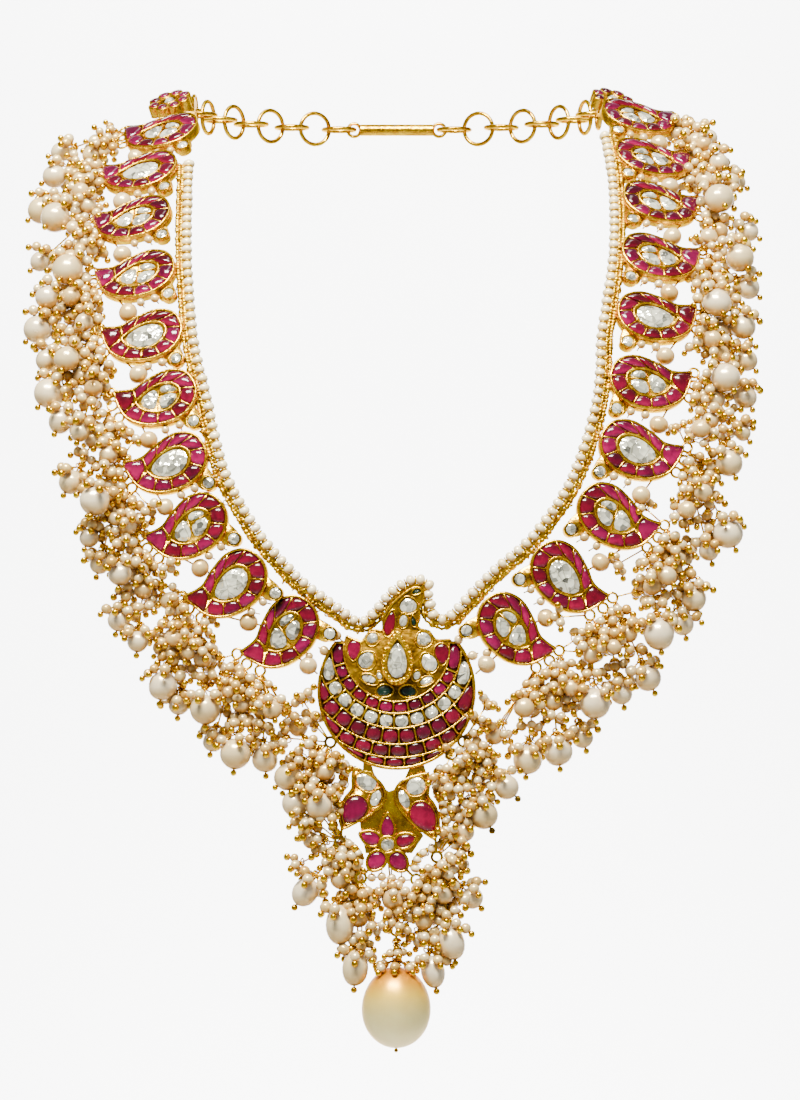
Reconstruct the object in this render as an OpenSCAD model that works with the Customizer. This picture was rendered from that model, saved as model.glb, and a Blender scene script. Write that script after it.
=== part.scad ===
// Polki necklace in its worn form: two runs of mango shaped links set with rubies and flat polki
// diamonds, a crescent pendant with a crest, a lower pendant of two keris and a flower,
// and a fringe of pearls on wires. Millimetres, +Z up, +X to the viewer's right, front towards -Y.
// The origin is the middle of the neck opening at the height of the back chain.

/* [Drape] */
// How far the pendant stands in front of the top links
front_reach = 75; // [70:1:80]
// Drop from the top links to where the chest turns upright
drop_bend = 150; // [145:1:155]
// How the chest curve tightens towards the top
chest_power = 2.5; // [2.3:0.1:2.7]
// Forward lean of the pendant, in degrees
lean = 5.7; // [5:0.1:6.5]
// Outward turn of the lowest links, in degrees
turn_low = 8; // [6:1:10]
// Extra outward turn of the top links, in degrees
turn_more = 20; // [16:1:24]

/* [Mango links] */
// Thickness of the gold body of a link
mango_t = 3; // [2.8:0.1:3.3]
// Width of the gold rim round the stones
rim_w = 0.7; // [0.6:0.05:0.8]
// Width of the gold walls between two rubies
wall_w = 0.5; // [0.4:0.05:0.6]
// Depth of the stone pockets
pocket_deep = 1.5; // [1.3:0.1:1.6]
// How far the rubies stand above the rim
ruby_proud = 0.5; // [0.3:0.1:0.6]
// Outer radius of the small round side setting
collet_r = 2; // [1.9:0.05:2.1]

/* [Rings, wires and pearls] */
// Radius of a hanging ring, to the middle of its wire
ring_r = 1.3; // [1.2:0.05:1.4]
// Radius of the wire of a hanging ring
ring_wire = 0.35; // [0.3:0.05:0.4]
// Radius of the wire that a pearl hangs on
pin_r = 0.25; // [0.2:0.05:0.3]
// Clearance of a pearl's bore round its wire
bore_gap = 0.12; // [0.1:0.01:0.15]
// Diameter of the gold ball under a pearl
ball_d = 1.7; // [1.5:0.1:1.8]
// Diameter of the pearl between two links
link_pearl = 4.8; // [4.4:0.1:5]
// Diameter of the pearl in the middle of a strand
mid_pearl = 5; // [4.4:0.1:5.2]
// Thickness of the inner string of seed pearls
string_d = 3; // [2.6:0.1:3.2]

/* [Pendant] */
// Radius of the crescent pendant
disc_r = 20.5; // [20:0.1:21]
// Radius of the dome of its face
dome_r = 70; // [66:1:76]
// Height of the dome's middle above the back of the pendant
dome_h = 5.6; // [5.4:0.1:6]
// Thickness of the lower pendant
lower_t = 3.2; // [3:0.1:3.5]
// Width of the golden pearl
gold_pearl_w = 17.8; // [17:0.1:18.5]
// Height of the golden pearl
gold_pearl_h = 21.1; // [20:0.1:22]

/* [Back chain] */
// Radius of the chain's way round the neck
neck_r = 57.5; // [56:0.5:59]
// Radius of a chain link, to the middle of its wire
link_r = 4.6; // [4.4:0.1:4.8]
// Radius of the chain's wire
link_wire = 0.6; // [0.5:0.05:0.65]

/* [Hidden] */

GOLD = [0.83, 0.62, 0.22];
RUBY = [0.72, 0.08, 0.25];
POLKI = [0.85, 0.88, 0.84];
EMERALD = [0.02, 0.20, 0.13];
PEARL = [0.93, 0.87, 0.78];
PEACH = [0.90, 0.76, 0.62];
GOLDEN = [0.80, 0.58, 0.26];

LEFT = -1;
RIGHT = 1;
gap = 0.1;
arc_fn = 48;

// Mango links, top to bottom: x, z, turn of the tip downwards, stones in the middle
LINKS_LEFT = [
    [-64.1, -9.1, -4, 3], [-69.2, -21, -3, 1], [-70.3, -34.6, 0, 3], [-68.5, -50.4, 0, 3],
    [-66.1, -66.9, -3, 1], [-62, -83.3, 0, 3], [-59, -100.2, 7, 1], [-53.4, -116.5, 18, 3],
    [-42.9, -131.3, 22, 1], [-29.1, -143.8, 32, 3]
];
LINKS_RIGHT = [
    [65.4, -4.5, -4, 3], [68.3, -17.1, -3, 3], [69.7, -30.1, -2, 3], [68.8, -45.4, -4, 3],
    [67.2, -61.8, -9, 1], [64.9, -79.3, -6, 3], [61.9, -96.8, 4, 1], [55.7, -113.9, 17, 3],
    [42.9, -129.5, 31, 1], [29.1, -143, 32, 3]
];

// Outline of a mango link in its own plane, clockwise from the upper side of its tip: x, y
MANGO_EDGE = [
    [-12.4, 2.1], [-7.6, 2.6], [-3.9, 5.3], [1.4, 8], [6.3, 7.6], [9.3, 4.5], [10.1, 0.6],
    [8.5, -3.6], [4.7, -6.6], [0.2, -7.8], [-4.3, -7.7], [-8.4, -5.9], [-10.9, -2.8], [-12.4, 0.6]
];
// Outline of the polki in its middle, clockwise from its tip and back to it: x, y
MIDDLE_EDGE = [
    [-5.9, -1.1], [-3.1, 2.4], [-0.2, 4.2], [2.7, 4.6], [4.9, 3.2], [5.2, 0.5], [3.1, -2.4],
    [-0.2, -3.7], [-3.9, -3], [-5.9, -1.1]
];
// Walls between the rubies: step along the outer outline, step along the middle outline
WALLS = [
    [1.05, 0.1], [2.2, 0.9], [3.1, 1.8], [4.2, 2.9], [5.4, 4.1], [6.7, 5.2], [7.8, 6.05],
    [8.95, 6.95], [10.15, 7.85], [11.4, 8.9]
];
EDGE_STEP = 4.6;
MIDDLE_STEP = 3.3;
// Grooves that part a middle set of three polkis: start x, y, length, direction
POLKI_GROOVES = [[0, -5, 11, 93], [-0.3, 0.9, 7, 10]];
GROOVE_W = 0.3;
COLLET = [9.9, -6.6];
COLLET_NECK = [[5, -4], [7.5, -8], [11, -8], [11.5, -5], [8.5, 0]];
// Hanging rings of a link: x, y, then the point on the body that they are soldered to
RINGS = [[-10.7, -5, -9.4, -3.9], [-12.8, -1.6, -11, -1], [-13.6, 2, -11.8, 1.4]];
LINK_PIN = [-4.4, -7.3];
LINK_SEAT = [-4.6, 5.2];
PEARL_SHARE = 0.66;

// Fringe strands: link, ring, x and z of the large pearl, how far it stands forward, its diameter
FRINGE_LEFT = [
    [0, 2, -93.5, -12, 0, 5.6], [0, 1, -94.5, -19.5, 0, 6.6],
    [1, 2, -97.5, -29.5, -3, 7.4], [1, 1, -92.5, -32.5, 3, 8.2],
    [2, 2, -96.5, -44.5, -2.5, 5.6], [2, 0, -88, -47.5, 3, 8.4], [2, 1, -93.5, -55, 0, 6.5],
    [3, 2, -96, -63.5, -2, 7.6], [3, 1, -93, -72, -2.5, 6.2], [3, 0, -87, -72, 3, 6.8],
    [4, 2, -92, -81, 0, 8], [4, 1, -88.5, -88.5, 0, 6.4], [4, 0, -83, -91.5, 2, 5.2],
    [5, 1, -85.5, -104.5, 0, 6.4], [5, 0, -78.6, -109.5, 5, 7.8],
    [6, 2, -80.4, -119, 0.5, 5.2], [6, 1, -77.8, -126, -3, 5.2], [6, 0, -72, -128.5, 2, 6.2],
    [7, 2, -72.5, -140.5, 0, 6], [7, 1, -67.5, -146, 1, 5.6],
    [8, 2, -61, -157.5, 1, 7.8], [8, 1, -57, -162.5, -3, 5.4], [8, 0, -50, -163.5, 1, 7.8],
    [9, 2, -48, -172, -2.5, 5.6], [9, 1, -42, -175, 2, 8.2], [9, 0, -34.5, -176.5, -1, 7]
];
FRINGE_RIGHT = [
    [0, 2, 86, -8, 0, 5], [0, 1, 87.5, -16.5, 4, 5.4],
    [1, 2, 93, -21.5, -1, 4.6], [1, 1, 86.5, -27.5, 5.6, 8],
    [2, 2, 95, -36, -1, 5.4], [2, 1, 91.5, -44, 2, 7.6],
    [3, 2, 94, -52, -3, 6.2], [3, 0, 84.5, -56.8, 3, 7.6], [3, 1, 91.6, -63, -1, 6.8],
    [4, 2, 92.5, -72, -3, 5.8], [4, 1, 91.5, -82, -2, 6.2], [4, 0, 86, -77, 3, 7.8],
    [5, 2, 90.5, -91.5, -1, 4.4], [5, 1, 86.5, -99.5, 0, 7.2],
    [6, 2, 86, -118, 0, 8], [6, 1, 81, -122.5, -3, 5.4],
    [7, 2, 77, -135, -1, 6.6], [7, 1, 74, -141.5, -3, 6.2], [7, 0, 67.5, -144, 3, 8.2],
    [8, 2, 65, -155.5, 0, 7], [8, 1, 58, -159.5, -2, 6], [8, 0, 51, -162, 2, 8],
    [9, 2, 48, -171, -2, 5.6], [9, 1, 41.5, -174.5, 2, 7.4], [9, 0, 33.5, -176.5, 0, 7.6]
];
// A strand has a middle pearl where this much wire stays bare beside it
MID_SHARE = 0.42;
PEARL_ROOM = 1.6;
RING_ROOM = 5;

// Way of the seed pearl strings along the inner edge of the links: x, z
STRING_LEFT = [
    [-56.8, -17.5], [-56.8, -20.5], [-56.7, -26], [-56.6, -33.3], [-56.4, -40], [-56, -46.8], [-55.3, -53.5],
    [-54.6, -61], [-53.4, -69.4], [-51.4, -77], [-49.9, -83], [-48.8, -88], [-47.4, -94], [-45.2, -101.6],
    [-42.4, -107.6], [-38.9, -113.6], [-34.9, -119.6], [-32, -123], [-28, -127], [-24.2, -130.5],
    [-19, -134], [-14.5, -137], [-11.5, -139.5], [-8.5, -139.5], [-6, -137], [-3.5, -134], [0, -131],
    [3.6, -129.2]
];
STRING_RIGHT = [
    [56.5, -9], [57.5, -16], [58, -24], [58, -32.5], [57.5, -41], [56.5, -49], [55, -57.5],
    [53.5, -66], [53, -74.5], [52, -82.5], [50, -90.5], [47.5, -98], [44.5, -105], [40.5, -111.5],
    [36, -117.5], [31, -122.5], [25.5, -127], [20, -132], [15.5, -136.5], [12, -139.2],
    [9.4, -138.6], [8.7, -135], [8.2, -133.2]
];
// Outward reach from the middle of a link to the inner string
STRING_REACH = 11.5;

// Pendant: crescent, seen from the front round the middle of its disc
PENDANT_X = -0.4;
PENDANT_Z = -158.9;
RING_MID = [0, 10.7];
back_z = 1.1;
HORN_TOP = 12.9;
CREST_FROM = 15.6;
crest_top = 3.7;
// Upper edge between the horns and round the crest: x, y
CREST_EDGE = [
    [14.6, 8], [14.3, 13.2], [10.4, 13.2], [8.8, 15.4], [6.6, 16], [5.6, 16.8], [6.2, 19], [6, 21.7],
    [7.1, 24.3], [6.9, 26.3], [4.8, 27.1], [1.4, 25.1], [-1.7, 22.2], [-3.6, 19], [-3.8, 15.8],
    [-7, 15.7], [-9.4, 12.6], [-13.3, 14.2], [-14.6, 8]
];
// Rows of stones: inner radius, outer radius, number, middle of the row and pitch in degrees
ROWS = [
    [13.9, 16.6, 12, 267, 14.3], [17, 20.4, 12, 268, 12.3], [20.8, 24.5, 11, 266, 11],
    [24.9, 27.9, 9, 271, 10], [28.3, 32, 5, 269, 9.9]
];
POLKI_ROW = 1;

// Single stones of the crescent: x, y, width, height, turn, how pointed the top is
CRESCENT_RUBIES = [
    [-11, 10.3, 3.4, 5.4, 175, 0.6], [11.8, 9.3, 3.7, 5.3, 183, 0.6], [-1.8, 17.4, 2.7, 6.8, -12, 0.5]
];
CRESCENT_POLKIS = [
    [-6.3, 13.5, 3, 3.2, 60, 0.3], [-8, 7.9, 4.6, 4.8, -40, 0.3], [7, 13.2, 4, 3.8, 20, 0.3],
    [8.6, 7.2, 4.8, 5, 40, 0.3], [-6.9, 2.5, 3.8, 2.1, 25, 0.2], [7.4, 2, 3.8, 2.1, -25, 0.2],
    [3, 22, 5, 3.8, 10, 0.3]
];
CRESCENT_EMERALDS = [
    [-2.9, -0.3, 4.4, 2.8, 8, 0.2], [2.9, -0.4, 4.4, 2.8, -8, 0.2], [5.1, 25.7, 2.4, 1.4, 20, 0.3],
    [4.3, 18, 1.4, 2.8, 10, 0.5]
];
PEAR = [0.2, 8.1];
PEAR_SIZE = [8.6, 13.4];
PEAR_STONE = [5.6, 8.6];
PEAR_RISE = 2.4;

// Lower pendant: outlines of the two keris, clockwise from the upper tip: x, y
KERI_LEFT = [
    [-10.9, -19.4], [-7.4, -21.4], [-4.2, -23.3], [-2.5, -25.9], [-2.9, -28.9], [-5.2, -31.4],
    [-8.6, -33.4], [-12.1, -35.2], [-14.2, -36.3], [-14.9, -34], [-14.7, -30.7], [-13.5, -27.7],
    [-11.2, -25.4], [-11.5, -22]
];
KERI_RIGHT = [
    [8.5, -21], [8.6, -24.4], [7.9, -27.2], [9.9, -29.3], [11.1, -32.3], [11.1, -36.2], [10.1, -39.1],
    [9.2, -38.4], [6.3, -36.3], [2.6, -33], [-0.2, -29.3], [-0.8, -25.9], [0.6, -23.6], [3.8, -22.1]
];
LOWER_PLATE = [
    [-8.6, -17.6], [-6.6, -18.6], [-5, -24], [-2, -26], [1, -25], [4, -18.6], [6.6, -17.6], [8, -22],
    [3, -31], [7, -37.5], [4, -42], [-8, -42], [-9.5, -34.5]
];
FLOWER = [-2.3, -39.9];
// Petals of the flower: x, y, width, height, turn, how pointed
PETALS = [
    [-2.3, -35, 4.6, 6.6, 0, 0.9], [2.5, -38.7, 4.6, 5.6, -72, 0.7], [-6.9, -38.1, 4.6, 5.6, 66, 0.7],
    [-5.2, -44, 4.8, 5.6, 142, 0.2], [0.5, -44.2, 4.8, 5.6, 218, 0.2]
];
KERI_RUBIES = [[-11, -31, 5.4, 7.2, 146, 0.5], [7.1, -32.9, 5.6, 7.8, 214, 0.5]];
KERI_POLKIS = [
    [-7.7, -23.8, 4.8, 3, -28, 0.2], [-5.3, -27.9, 2.4, 3.4, -20, 0.4], [4.9, -24.6, 4.6, 3.4, 20, 0.2],
    [1.9, -28, 2.2, 4, 22, 0.4]
];
FLOWER_STONE = 1.7;

// Strands of the pendant: ring x, y, seat on the metal x, y, pearl x, y, forward, width, height, middle pearl
PENDANT_STRANDS = [
    [-17.1, -13.4, -15.9, -12.5, -19.9, -30, 2.2, 7.3, 7.3, 1],
    [17.3, -13.2, 15.9, -12.4, 28.5, -25, 0, 6.6, 6.6, 0],
    [14.3, -16.5, 13.2, -15.3, 22.6, -32.3, 0, 7.2, 7.2, 0],
    [-14.6, -39.2, -14, -35, -14.6, -60.5, 1, 7.6, 10.6, 1],
    [-14.6, -39.2, -14, -35, -23.6, -52.1, -1, 6.8, 7.8, 0],
    [-9.2, -48.4, -6.9, -45.9, -10.6, -71.5, 1, 6.8, 9.6, 1],
    [5.1, -48.8, 2.2, -45.9, 9.4, -72.5, 1, 6.2, 8.4, 1],
    [10.4, -43, 10, -38, 14.2, -65, 1, 6.8, 9, 1],
    [10.4, -43, 10, -38, 19.6, -53.5, -3, 5.8, 5.8, 0]
];
STRAND_Z = 2.7;
CENTRE_TOP = [-2.5, -41.5];
CENTRE_RING = [-0.1, -61.9];
CENTRE_PEARL = 0.66;

// Way of the fine strings down the outer edges of the keris: x, y
KERI_STRING_LEFT = [
    [-13.4, -19.1], [-13.7, -22.5], [-14.4, -25.3], [-16, -27.9], [-16.6, -31], [-16.7, -34],
    [-15.9, -37.4], [-12.5, -39.6], [-10.2, -42], [-9.8, -44.5]
];
KERI_STRING_RIGHT = [
    [11.4, -20], [10.6, -22.4], [10.5, -25.2], [11.4, -27.8], [12.6, -30.3], [13, -33.5],
    [12.9, -36.5], [11.6, -40], [8, -41.3], [5.6, -43.2], [4.9, -46]
];
FINE_STRING_D = 2.2;
FINE_STRING_Z = 0.9;

// Flower links at the top: x, y, z of the middle, and their backward tilt
FLOWER_LINKS = [[-62.9, 3, 0.3], [59.3, 8, 1.4]];
FLOWER_TILT = 58;
FLOWER_TURN = 28;
FLOWER_R = 4.4;
PETAL_R = 1.9;
PETAL_COUNT = 8;
// Where its rod meets the first mango link
FLOWER_SEAT = [0, 8];
// Where the rod leaves the flower: distance from its middle, and height
ROD_START = [5.2, 0, 0.7];
CHAIN_MID = [-0.5, 21, 2];
EYE_R = 1.9;
EYE_WIRE = 0.5;
BAR = [2.4, 4];
link_pitch = 7.6;
LINKS_A_SIDE = 10;

drop_swing = 0.1;
drop_cap_h = 1.6;

// Depth of the necklace's back surface at height z
function depth_at(z) = z > -drop_bend
    ? -front_reach * (1 - pow(1 + z / drop_bend, chest_power))
    : -front_reach + tan(lean) * (z + drop_bend);
// Backward tilt of a face at height z
function tilt_at(z) = max(lean,
    atan(front_reach * chest_power / drop_bend * pow(max(0, 1 + z / drop_bend), chest_power - 1)));
// Outward turn of a face at height z
function yaw_at(z) = turn_low + turn_more * pow(max(0, 1 + z / drop_bend), 2);

function turn_x(p, a) = [p.x, p.y * cos(a) - p.z * sin(a), p.y * sin(a) + p.z * cos(a)];
function turn_z(p, a) = [p.x * cos(a) - p.y * sin(a), p.x * sin(a) + p.y * cos(a), p.z];

// A point in a mango link's own plane, as a point of the necklace
function on_link(side, link, p) =
    turn_z(
        turn_x(turn_z([-side * p.x, p.y, p.z], -side * link[2]), 90 - tilt_at(link[1])),
        side * yaw_at(link[1])
    ) + [link[0], depth_at(link[1]), link[1]];
// The point of a link's plane, raised by lift, that is seen at x and z from the front
function facing_link(side, link, x, z, lift) =
    let (
        c = on_link(side, link, [0, 0, 0]),
        n = on_link(side, link, [0, 0, 1]) - c
    )
    [x, c.y + (lift - n.x * (x - c.x) - n.z * (z - c.z)) / n.y, z];
// A point in the pendant's own plane, as a point of the necklace
function on_pendant(p) = turn_x(p, 90 - lean) + [PENDANT_X, depth_at(PENDANT_Z), PENDANT_Z];

// Smooth open curve through a list of points
function curve_at(pts, u) =
    let (
        last = len(pts) - 1,
        i = min(floor(u), last - 1),
        t = u - i,
        a = pts[max(i - 1, 0)],
        b = pts[i],
        c = pts[i + 1],
        d = pts[min(i + 2, last)]
    )
    0.5 * (2 * b + (c - a) * t + (2 * a - 5 * b + 4 * c - d) * t * t
        + (3 * b - a - 3 * c + d) * t * t * t);
// The same curve moved sideways, to the inside of a clockwise outline
function shifted_at(pts, u, inward) =
    let (
        last = len(pts) - 1,
        s = curve_at(pts, min(u + 0.05, last)) - curve_at(pts, max(u - 0.05, 0))
    )
    curve_at(pts, u) + inward * [s.y, -s.x] / norm(s);
function steps(from, to, count) = [for (i = [0:count]) from + (to - from) * i / count];
function outline(pts, inward, count) = [for (u = steps(0, len(pts) - 1, count)) shifted_at(pts, u, inward)];
function without_last(pts) = [for (i = [0:len(pts) - 2]) pts[i]];

// Outline of ruby cell i of a mango link, g smaller all round
function ruby_cell(i, g) =
    let (
        half = wall_w / 2 + 2 * g,
        tip = i == len(WALLS) - 1,
        from = WALLS[i],
        to = WALLS[tip ? 0 : i + 1],
        far = len(MANGO_EDGE) - 1
    )
    tip
    ? concat(
        [for (u = steps(from[0] + half / EDGE_STEP, far - g, 2)) shifted_at(MANGO_EDGE, u, rim_w + g)],
        [for (u = steps(0.15 + g, to[0] - half / EDGE_STEP, 1)) shifted_at(MANGO_EDGE, u, rim_w + g)],
        [[-6.8 - g, -0.9]]
    )
    : concat(
        [for (u = steps(from[0] + half / EDGE_STEP, to[0] - half / EDGE_STEP, 2))
            shifted_at(MANGO_EDGE, u, rim_w + g)],
        [for (u = steps(to[1] - half / MIDDLE_STEP, from[1] + half / MIDDLE_STEP, 1))
            shifted_at(MIDDLE_EDGE, u, -rim_w - g)]
    );
function middle_of(pts) = [for (k = [0:1]) sum_of([for (p = pts) p[k]]) / len(pts)];
function sum_of(v, i = 0) = i < len(v) ? v[i] + sum_of(v, i + 1) : 0;

// Outline of a drop shaped stone round its middle, with its point upwards
function drop_edge(w, h, point, count = 14) = [
    for (i = [0:count - 1])
        let (a = 360 * (i + 0.5) / count)
        [w / 2 * sin(a) * pow(abs(sin(a / 2)), point), h / 2 * cos(a)]
];
function turned(pts, a) = [for (p = pts) [p.x * cos(a) - p.y * sin(a), p.x * sin(a) + p.y * cos(a)]];
function moved(pts, by) = [for (p = pts) p + by];
function stone_edge(s, g, count = 10) =
    moved(turned(drop_edge(s[2] - 2 * g, s[3] - 2 * g, s[5], count), s[4]), [s[0], s[1]]);
// Height of the face: the dome, or the flat crest above it
function dome_at(x, y) = y > CREST_FROM
    ? crest_top
    : sqrt(dome_r * dome_r - x * x - y * y) - dome_r + dome_h;

// A straight round rod between two points
module rod(from, to, r) {
    d = to - from;
    translate(from)
        rotate([0, acos(d.z / norm(d)), atan2(d.y, d.x)])
            cylinder(h = norm(d), r = r, $fn = 24);
}

// A round wire ring lying flat
module ring(r, wire) {
    rotate_extrude($fn = arc_fn)
        translate([r, 0])
            circle(r = wire, $fn = 24);
}

// A hanging ring of square wire lying flat
module hanging_ring() {
    translate([0, 0, -ring_wire])
        linear_extrude(2 * ring_wire)
            difference() {
                circle(r = ring_r + ring_wire, $fn = arc_fn);
                circle(r = ring_r - ring_wire, $fn = arc_fn);
            }
}

// A drilled pearl on the line through two points, at a share of the way
module pearl_on(from, to, share, w, h) {
    d = to - from;
    bore = pin_r + bore_gap;
    translate(from + d * share)
        rotate([0, acos(d.z / norm(d)), atan2(d.y, d.x)])
            rotate_extrude($fn = arc_fn)
                intersection() {
                    if (w == h) {
                        circle(d = w, $fn = arc_fn);
                    } else {
                        polygon([for (a = [0:15:345]) [w / 2 * sin(a), h / 2 * cos(a)]]);
                    }
                    translate([bore, -h])
                        square([w, 2 * h]);
                }
}

// A cut stone with a flat table, a girdle and a narrower foot, from a flat outline
module cut_stone(pts, foot_z, girdle_z, table_z) {
    n = len(pts);
    mid = middle_of(pts);
    level = function(share, z)
        [for (p = pts) [mid.x + (p.x - mid.x) * share, mid.y + (p.y - mid.y) * share, z]];
    polyhedron(
        points = concat(level(0.9, foot_z), level(1, girdle_z), level(0.66, table_z)),
        faces = concat(
            [[for (i = [n - 1:-1:0]) i]],
            [for (k = [0:1], i = [0:n - 1])
                [k * n + i, k * n + (i + 1) % n, (k + 1) * n + (i + 1) % n, (k + 1) * n + i]],
            [[for (i = [0:n - 1]) 2 * n + i]]
        )
    );
}

// Places flat work on a mango link
module at_link(side, link) {
    translate([link[0], depth_at(link[1]), link[1]])
        rotate([0, 0, side * yaw_at(link[1])])
            rotate([90 - tilt_at(link[1]), 0, 0])
                rotate([0, 0, -side * link[2]])
                    mirror([side == RIGHT ? 1 : 0, 0, 0])
                        children();
}

module at_pendant() {
    translate([PENDANT_X, depth_at(PENDANT_Z), PENDANT_Z])
        rotate([90 - lean, 0, 0])
            children();
}

// Flat ring of foil under the rubies of a mango link, g smaller all round
module foil_bed(g) {
    difference() {
        polygon([for (u = steps(0.7, 12.2, 12)) shifted_at(MANGO_EDGE, u, rim_w + 0.2 + g)]);
        polygon(without_last(outline(MIDDLE_EDGE, -rim_w - 0.3 - g, 9)));
    }
}

// Gold body of a mango link with its stone pockets and its round side setting
module mango_body() {
    floor_z = mango_t - pocket_deep;
    bed_z = floor_z + 0.4;
    difference() {
        union() {
            linear_extrude(mango_t)
                polygon(outline(MANGO_EDGE, 0, 26));
            translate([0, 0, 0.4])
                linear_extrude(mango_t - 1.4)
                    polygon(COLLET_NECK);
            translate([COLLET.x, COLLET.y, 0.2])
                cylinder(h = mango_t - 0.1, r = collet_r, $fn = arc_fn);
        }
        translate([0, 0, floor_z])
            linear_extrude(bed_z - floor_z)
                foil_bed(0);
        for (i = [0:len(WALLS) - 1])
            translate([0, 0, floor_z + 0.1])
                linear_extrude(mango_t)
                    polygon(ruby_cell(i, 0));
        translate([0, 0, floor_z])
            linear_extrude(mango_t)
                polygon(without_last(outline(MIDDLE_EDGE, 0, 13)));
        translate([COLLET.x, COLLET.y, mango_t - 1])
            cylinder(h = mango_t, r = collet_r - 0.45, $fn = arc_fn);
    }
}

// Rings of a link and the wires that hang from them, with a gold ball at each end
module mango_wires(side, links, fringe, k) {
    link = links[k];
    for (r = RINGS) {
        mid = on_link(side, link, [r[0], r[1], mango_t / 2]);
        at_link(side, link)
            translate([r[0], r[1], mango_t / 2])
                hanging_ring();
        rod(on_link(side, link, [r[2], r[3], mango_t / 2]),
            mid + ring_r * unit(on_link(side, link, [r[2], r[3], mango_t / 2]) - mid), ring_wire);
    }
    for (f = fringe)
        if (f[0] == k) {
            top = strand_top(side, links, f);
            end = strand_end(side, links, f);
            rod(top, end, pin_r);
            translate(end)
                sphere(d = ball_d, $fn = 24);
        }
}
function unit(v) = v / norm(v);
function strand_pearl(side, links, f) = facing_link(side, links[f[0]], f[2], f[3], f[4] + mango_t / 2);
function strand_top(side, links, f) =
    let (mid = on_link(side, links[f[0]], [RINGS[f[1]][0], RINGS[f[1]][1], mango_t / 2]),
        d = unit(on_plane(side, links[f[0]], strand_pearl(side, links, f) - mid)))
    mid + ring_r * d;
// The part of a vector that lies in a link's plane
function on_plane(side, link, v) =
    let (n = on_link(side, link, [0, 0, 1]) - on_link(side, link, [0, 0, 0])) v - n * (n * v);
function strand_end(side, links, f) =
    let (top = strand_top(side, links, f), p = strand_pearl(side, links, f))
    p + unit(p - top) * (f[5] + ball_d) / 2;

// Pin through the pearl between link k and the next, or the crescent below the last
function pin_from(side, links, k) = on_link(side, links[k], [LINK_PIN.x, LINK_PIN.y, mango_t / 2]);
function pin_to(side, links, k) = k < len(links) - 1
    ? on_link(side, links[k + 1], [LINK_SEAT.x, LINK_SEAT.y, mango_t / 2])
    : on_pendant([side * (disc_r + 0.4) * cos(12), (disc_r + 0.4) * sin(12), 2.4]);
function last_pin_from(side, links, k) = k < len(links) - 1
    ? pin_from(side, links, k)
    : on_link(side, links[k], [-0.4, -7.4, mango_t / 2]);

module mango_pin(side, links, k) {
    from = last_pin_from(side, links, k);
    to = pin_to(side, links, k);
    rod(from, to - unit(to - from) * 0.2, pin_r);
}

module mango(side, links, fringe, k) {
    color(GOLD) {
        union() {
            at_link(side, links[k]) mango_body();
            mango_wires(side, links, fringe, k);
            mango_pin(side, links, k);
        }
    }
}

// Rubies of a link, each a low cabochon, on the foil bed that runs under the walls
module mango_ruby() {
    floor_z = mango_t - pocket_deep;
    union() {
        translate([0, 0, floor_z + gap])
            linear_extrude(0.24)
                foil_bed(gap);
        for (i = [0:len(WALLS) - 1]) {
            edge = ruby_cell(i, gap);
            mid = middle_of(edge);
            dome = 3.4;
            intersection() {
                translate([0, 0, floor_z + 0.2])
                    linear_extrude(mango_t)
                        polygon(edge);
                translate([mid.x, mid.y, mango_t + ruby_proud - dome])
                    sphere(r = dome, $fn = arc_fn);
            }
        }
    }
}

module mango_rubies(side, links) {
    color(RUBY)
        for (link = links)
            at_link(side, link) mango_ruby();
}

// The middle polki, one stone or three parted by grooves
module mango_polki(stones) {
    foot = mango_t - pocket_deep + gap;
    edge = without_last(outline(MIDDLE_EDGE, gap, 13));
    difference() {
        cut_stone(edge, foot, mango_t - 0.5, mango_t + 0.3);
        if (stones > 1)
            for (g = POLKI_GROOVES)
                translate([g[0], g[1], mango_t - 0.6])
                    rotate(g[3])
                        translate([0, -GROOVE_W / 2, 0])
                            cube([g[2], GROOVE_W, 2]);
    }
}

module mango_polkis(side, links) {
    color(POLKI)
        for (link = links)
            at_link(side, link) mango_polki(link[3]);
}

module link_pearls(side, links) {
    color(PEACH)
        for (k = [0:len(links) - 1]) {
            from = last_pin_from(side, links, k);
            to = pin_to(side, links, k);
            share = k < len(links) - 1 ? PEARL_SHARE : 0.5;
            d = min(link_pearl, norm(to - from) * 0.69);
            pearl_on(from, to, share, d, d);
        }
}

module fringe_pearls(side, links, fringe) {
    color(PEARL)
        for (f = fringe) {
            top = strand_top(side, links, f);
            big = strand_pearl(side, links, f);
            pearl_on(top, big, 1, f[5], f[5]);
            if (norm(big - top) * (1 - MID_SHARE) > f[5] / 2 + mid_pearl / 2 + PEARL_ROOM
                && norm(big - top) * MID_SHARE > mid_pearl / 2 + RING_ROOM)
                pearl_on(top, big, MID_SHARE, mid_pearl, mid_pearl);
        }
}

// A tube of eight sides through a list of points
module tube(pts, d) {
    sides = 8;
    last = len(pts) - 1;
    across = function(i) unit(cross(pts[min(i + 1, last)] - pts[max(i - 1, 0)], [0, 1, 0]));
    other = function(i) unit(cross(across(i), pts[min(i + 1, last)] - pts[max(i - 1, 0)]));
    polyhedron(
        points = [for (i = [0:last], k = [0:sides - 1])
            let (a = 360 * (k + 0.5) / sides)
            pts[i] + d / 2 * (cos(a) * across(i) + sin(a) * other(i))],
        faces = concat(
            [[for (k = [sides - 1:-1:0]) k]],
            [for (i = [0:last - 1], k = [0:sides - 1])
                let (next = (k + 1) % sides)
                [i * sides + k, i * sides + next, (i + 1) * sides + next, (i + 1) * sides + k]],
            [[for (k = [0:sides - 1]) last * sides + k]]
        )
    );
}
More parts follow.
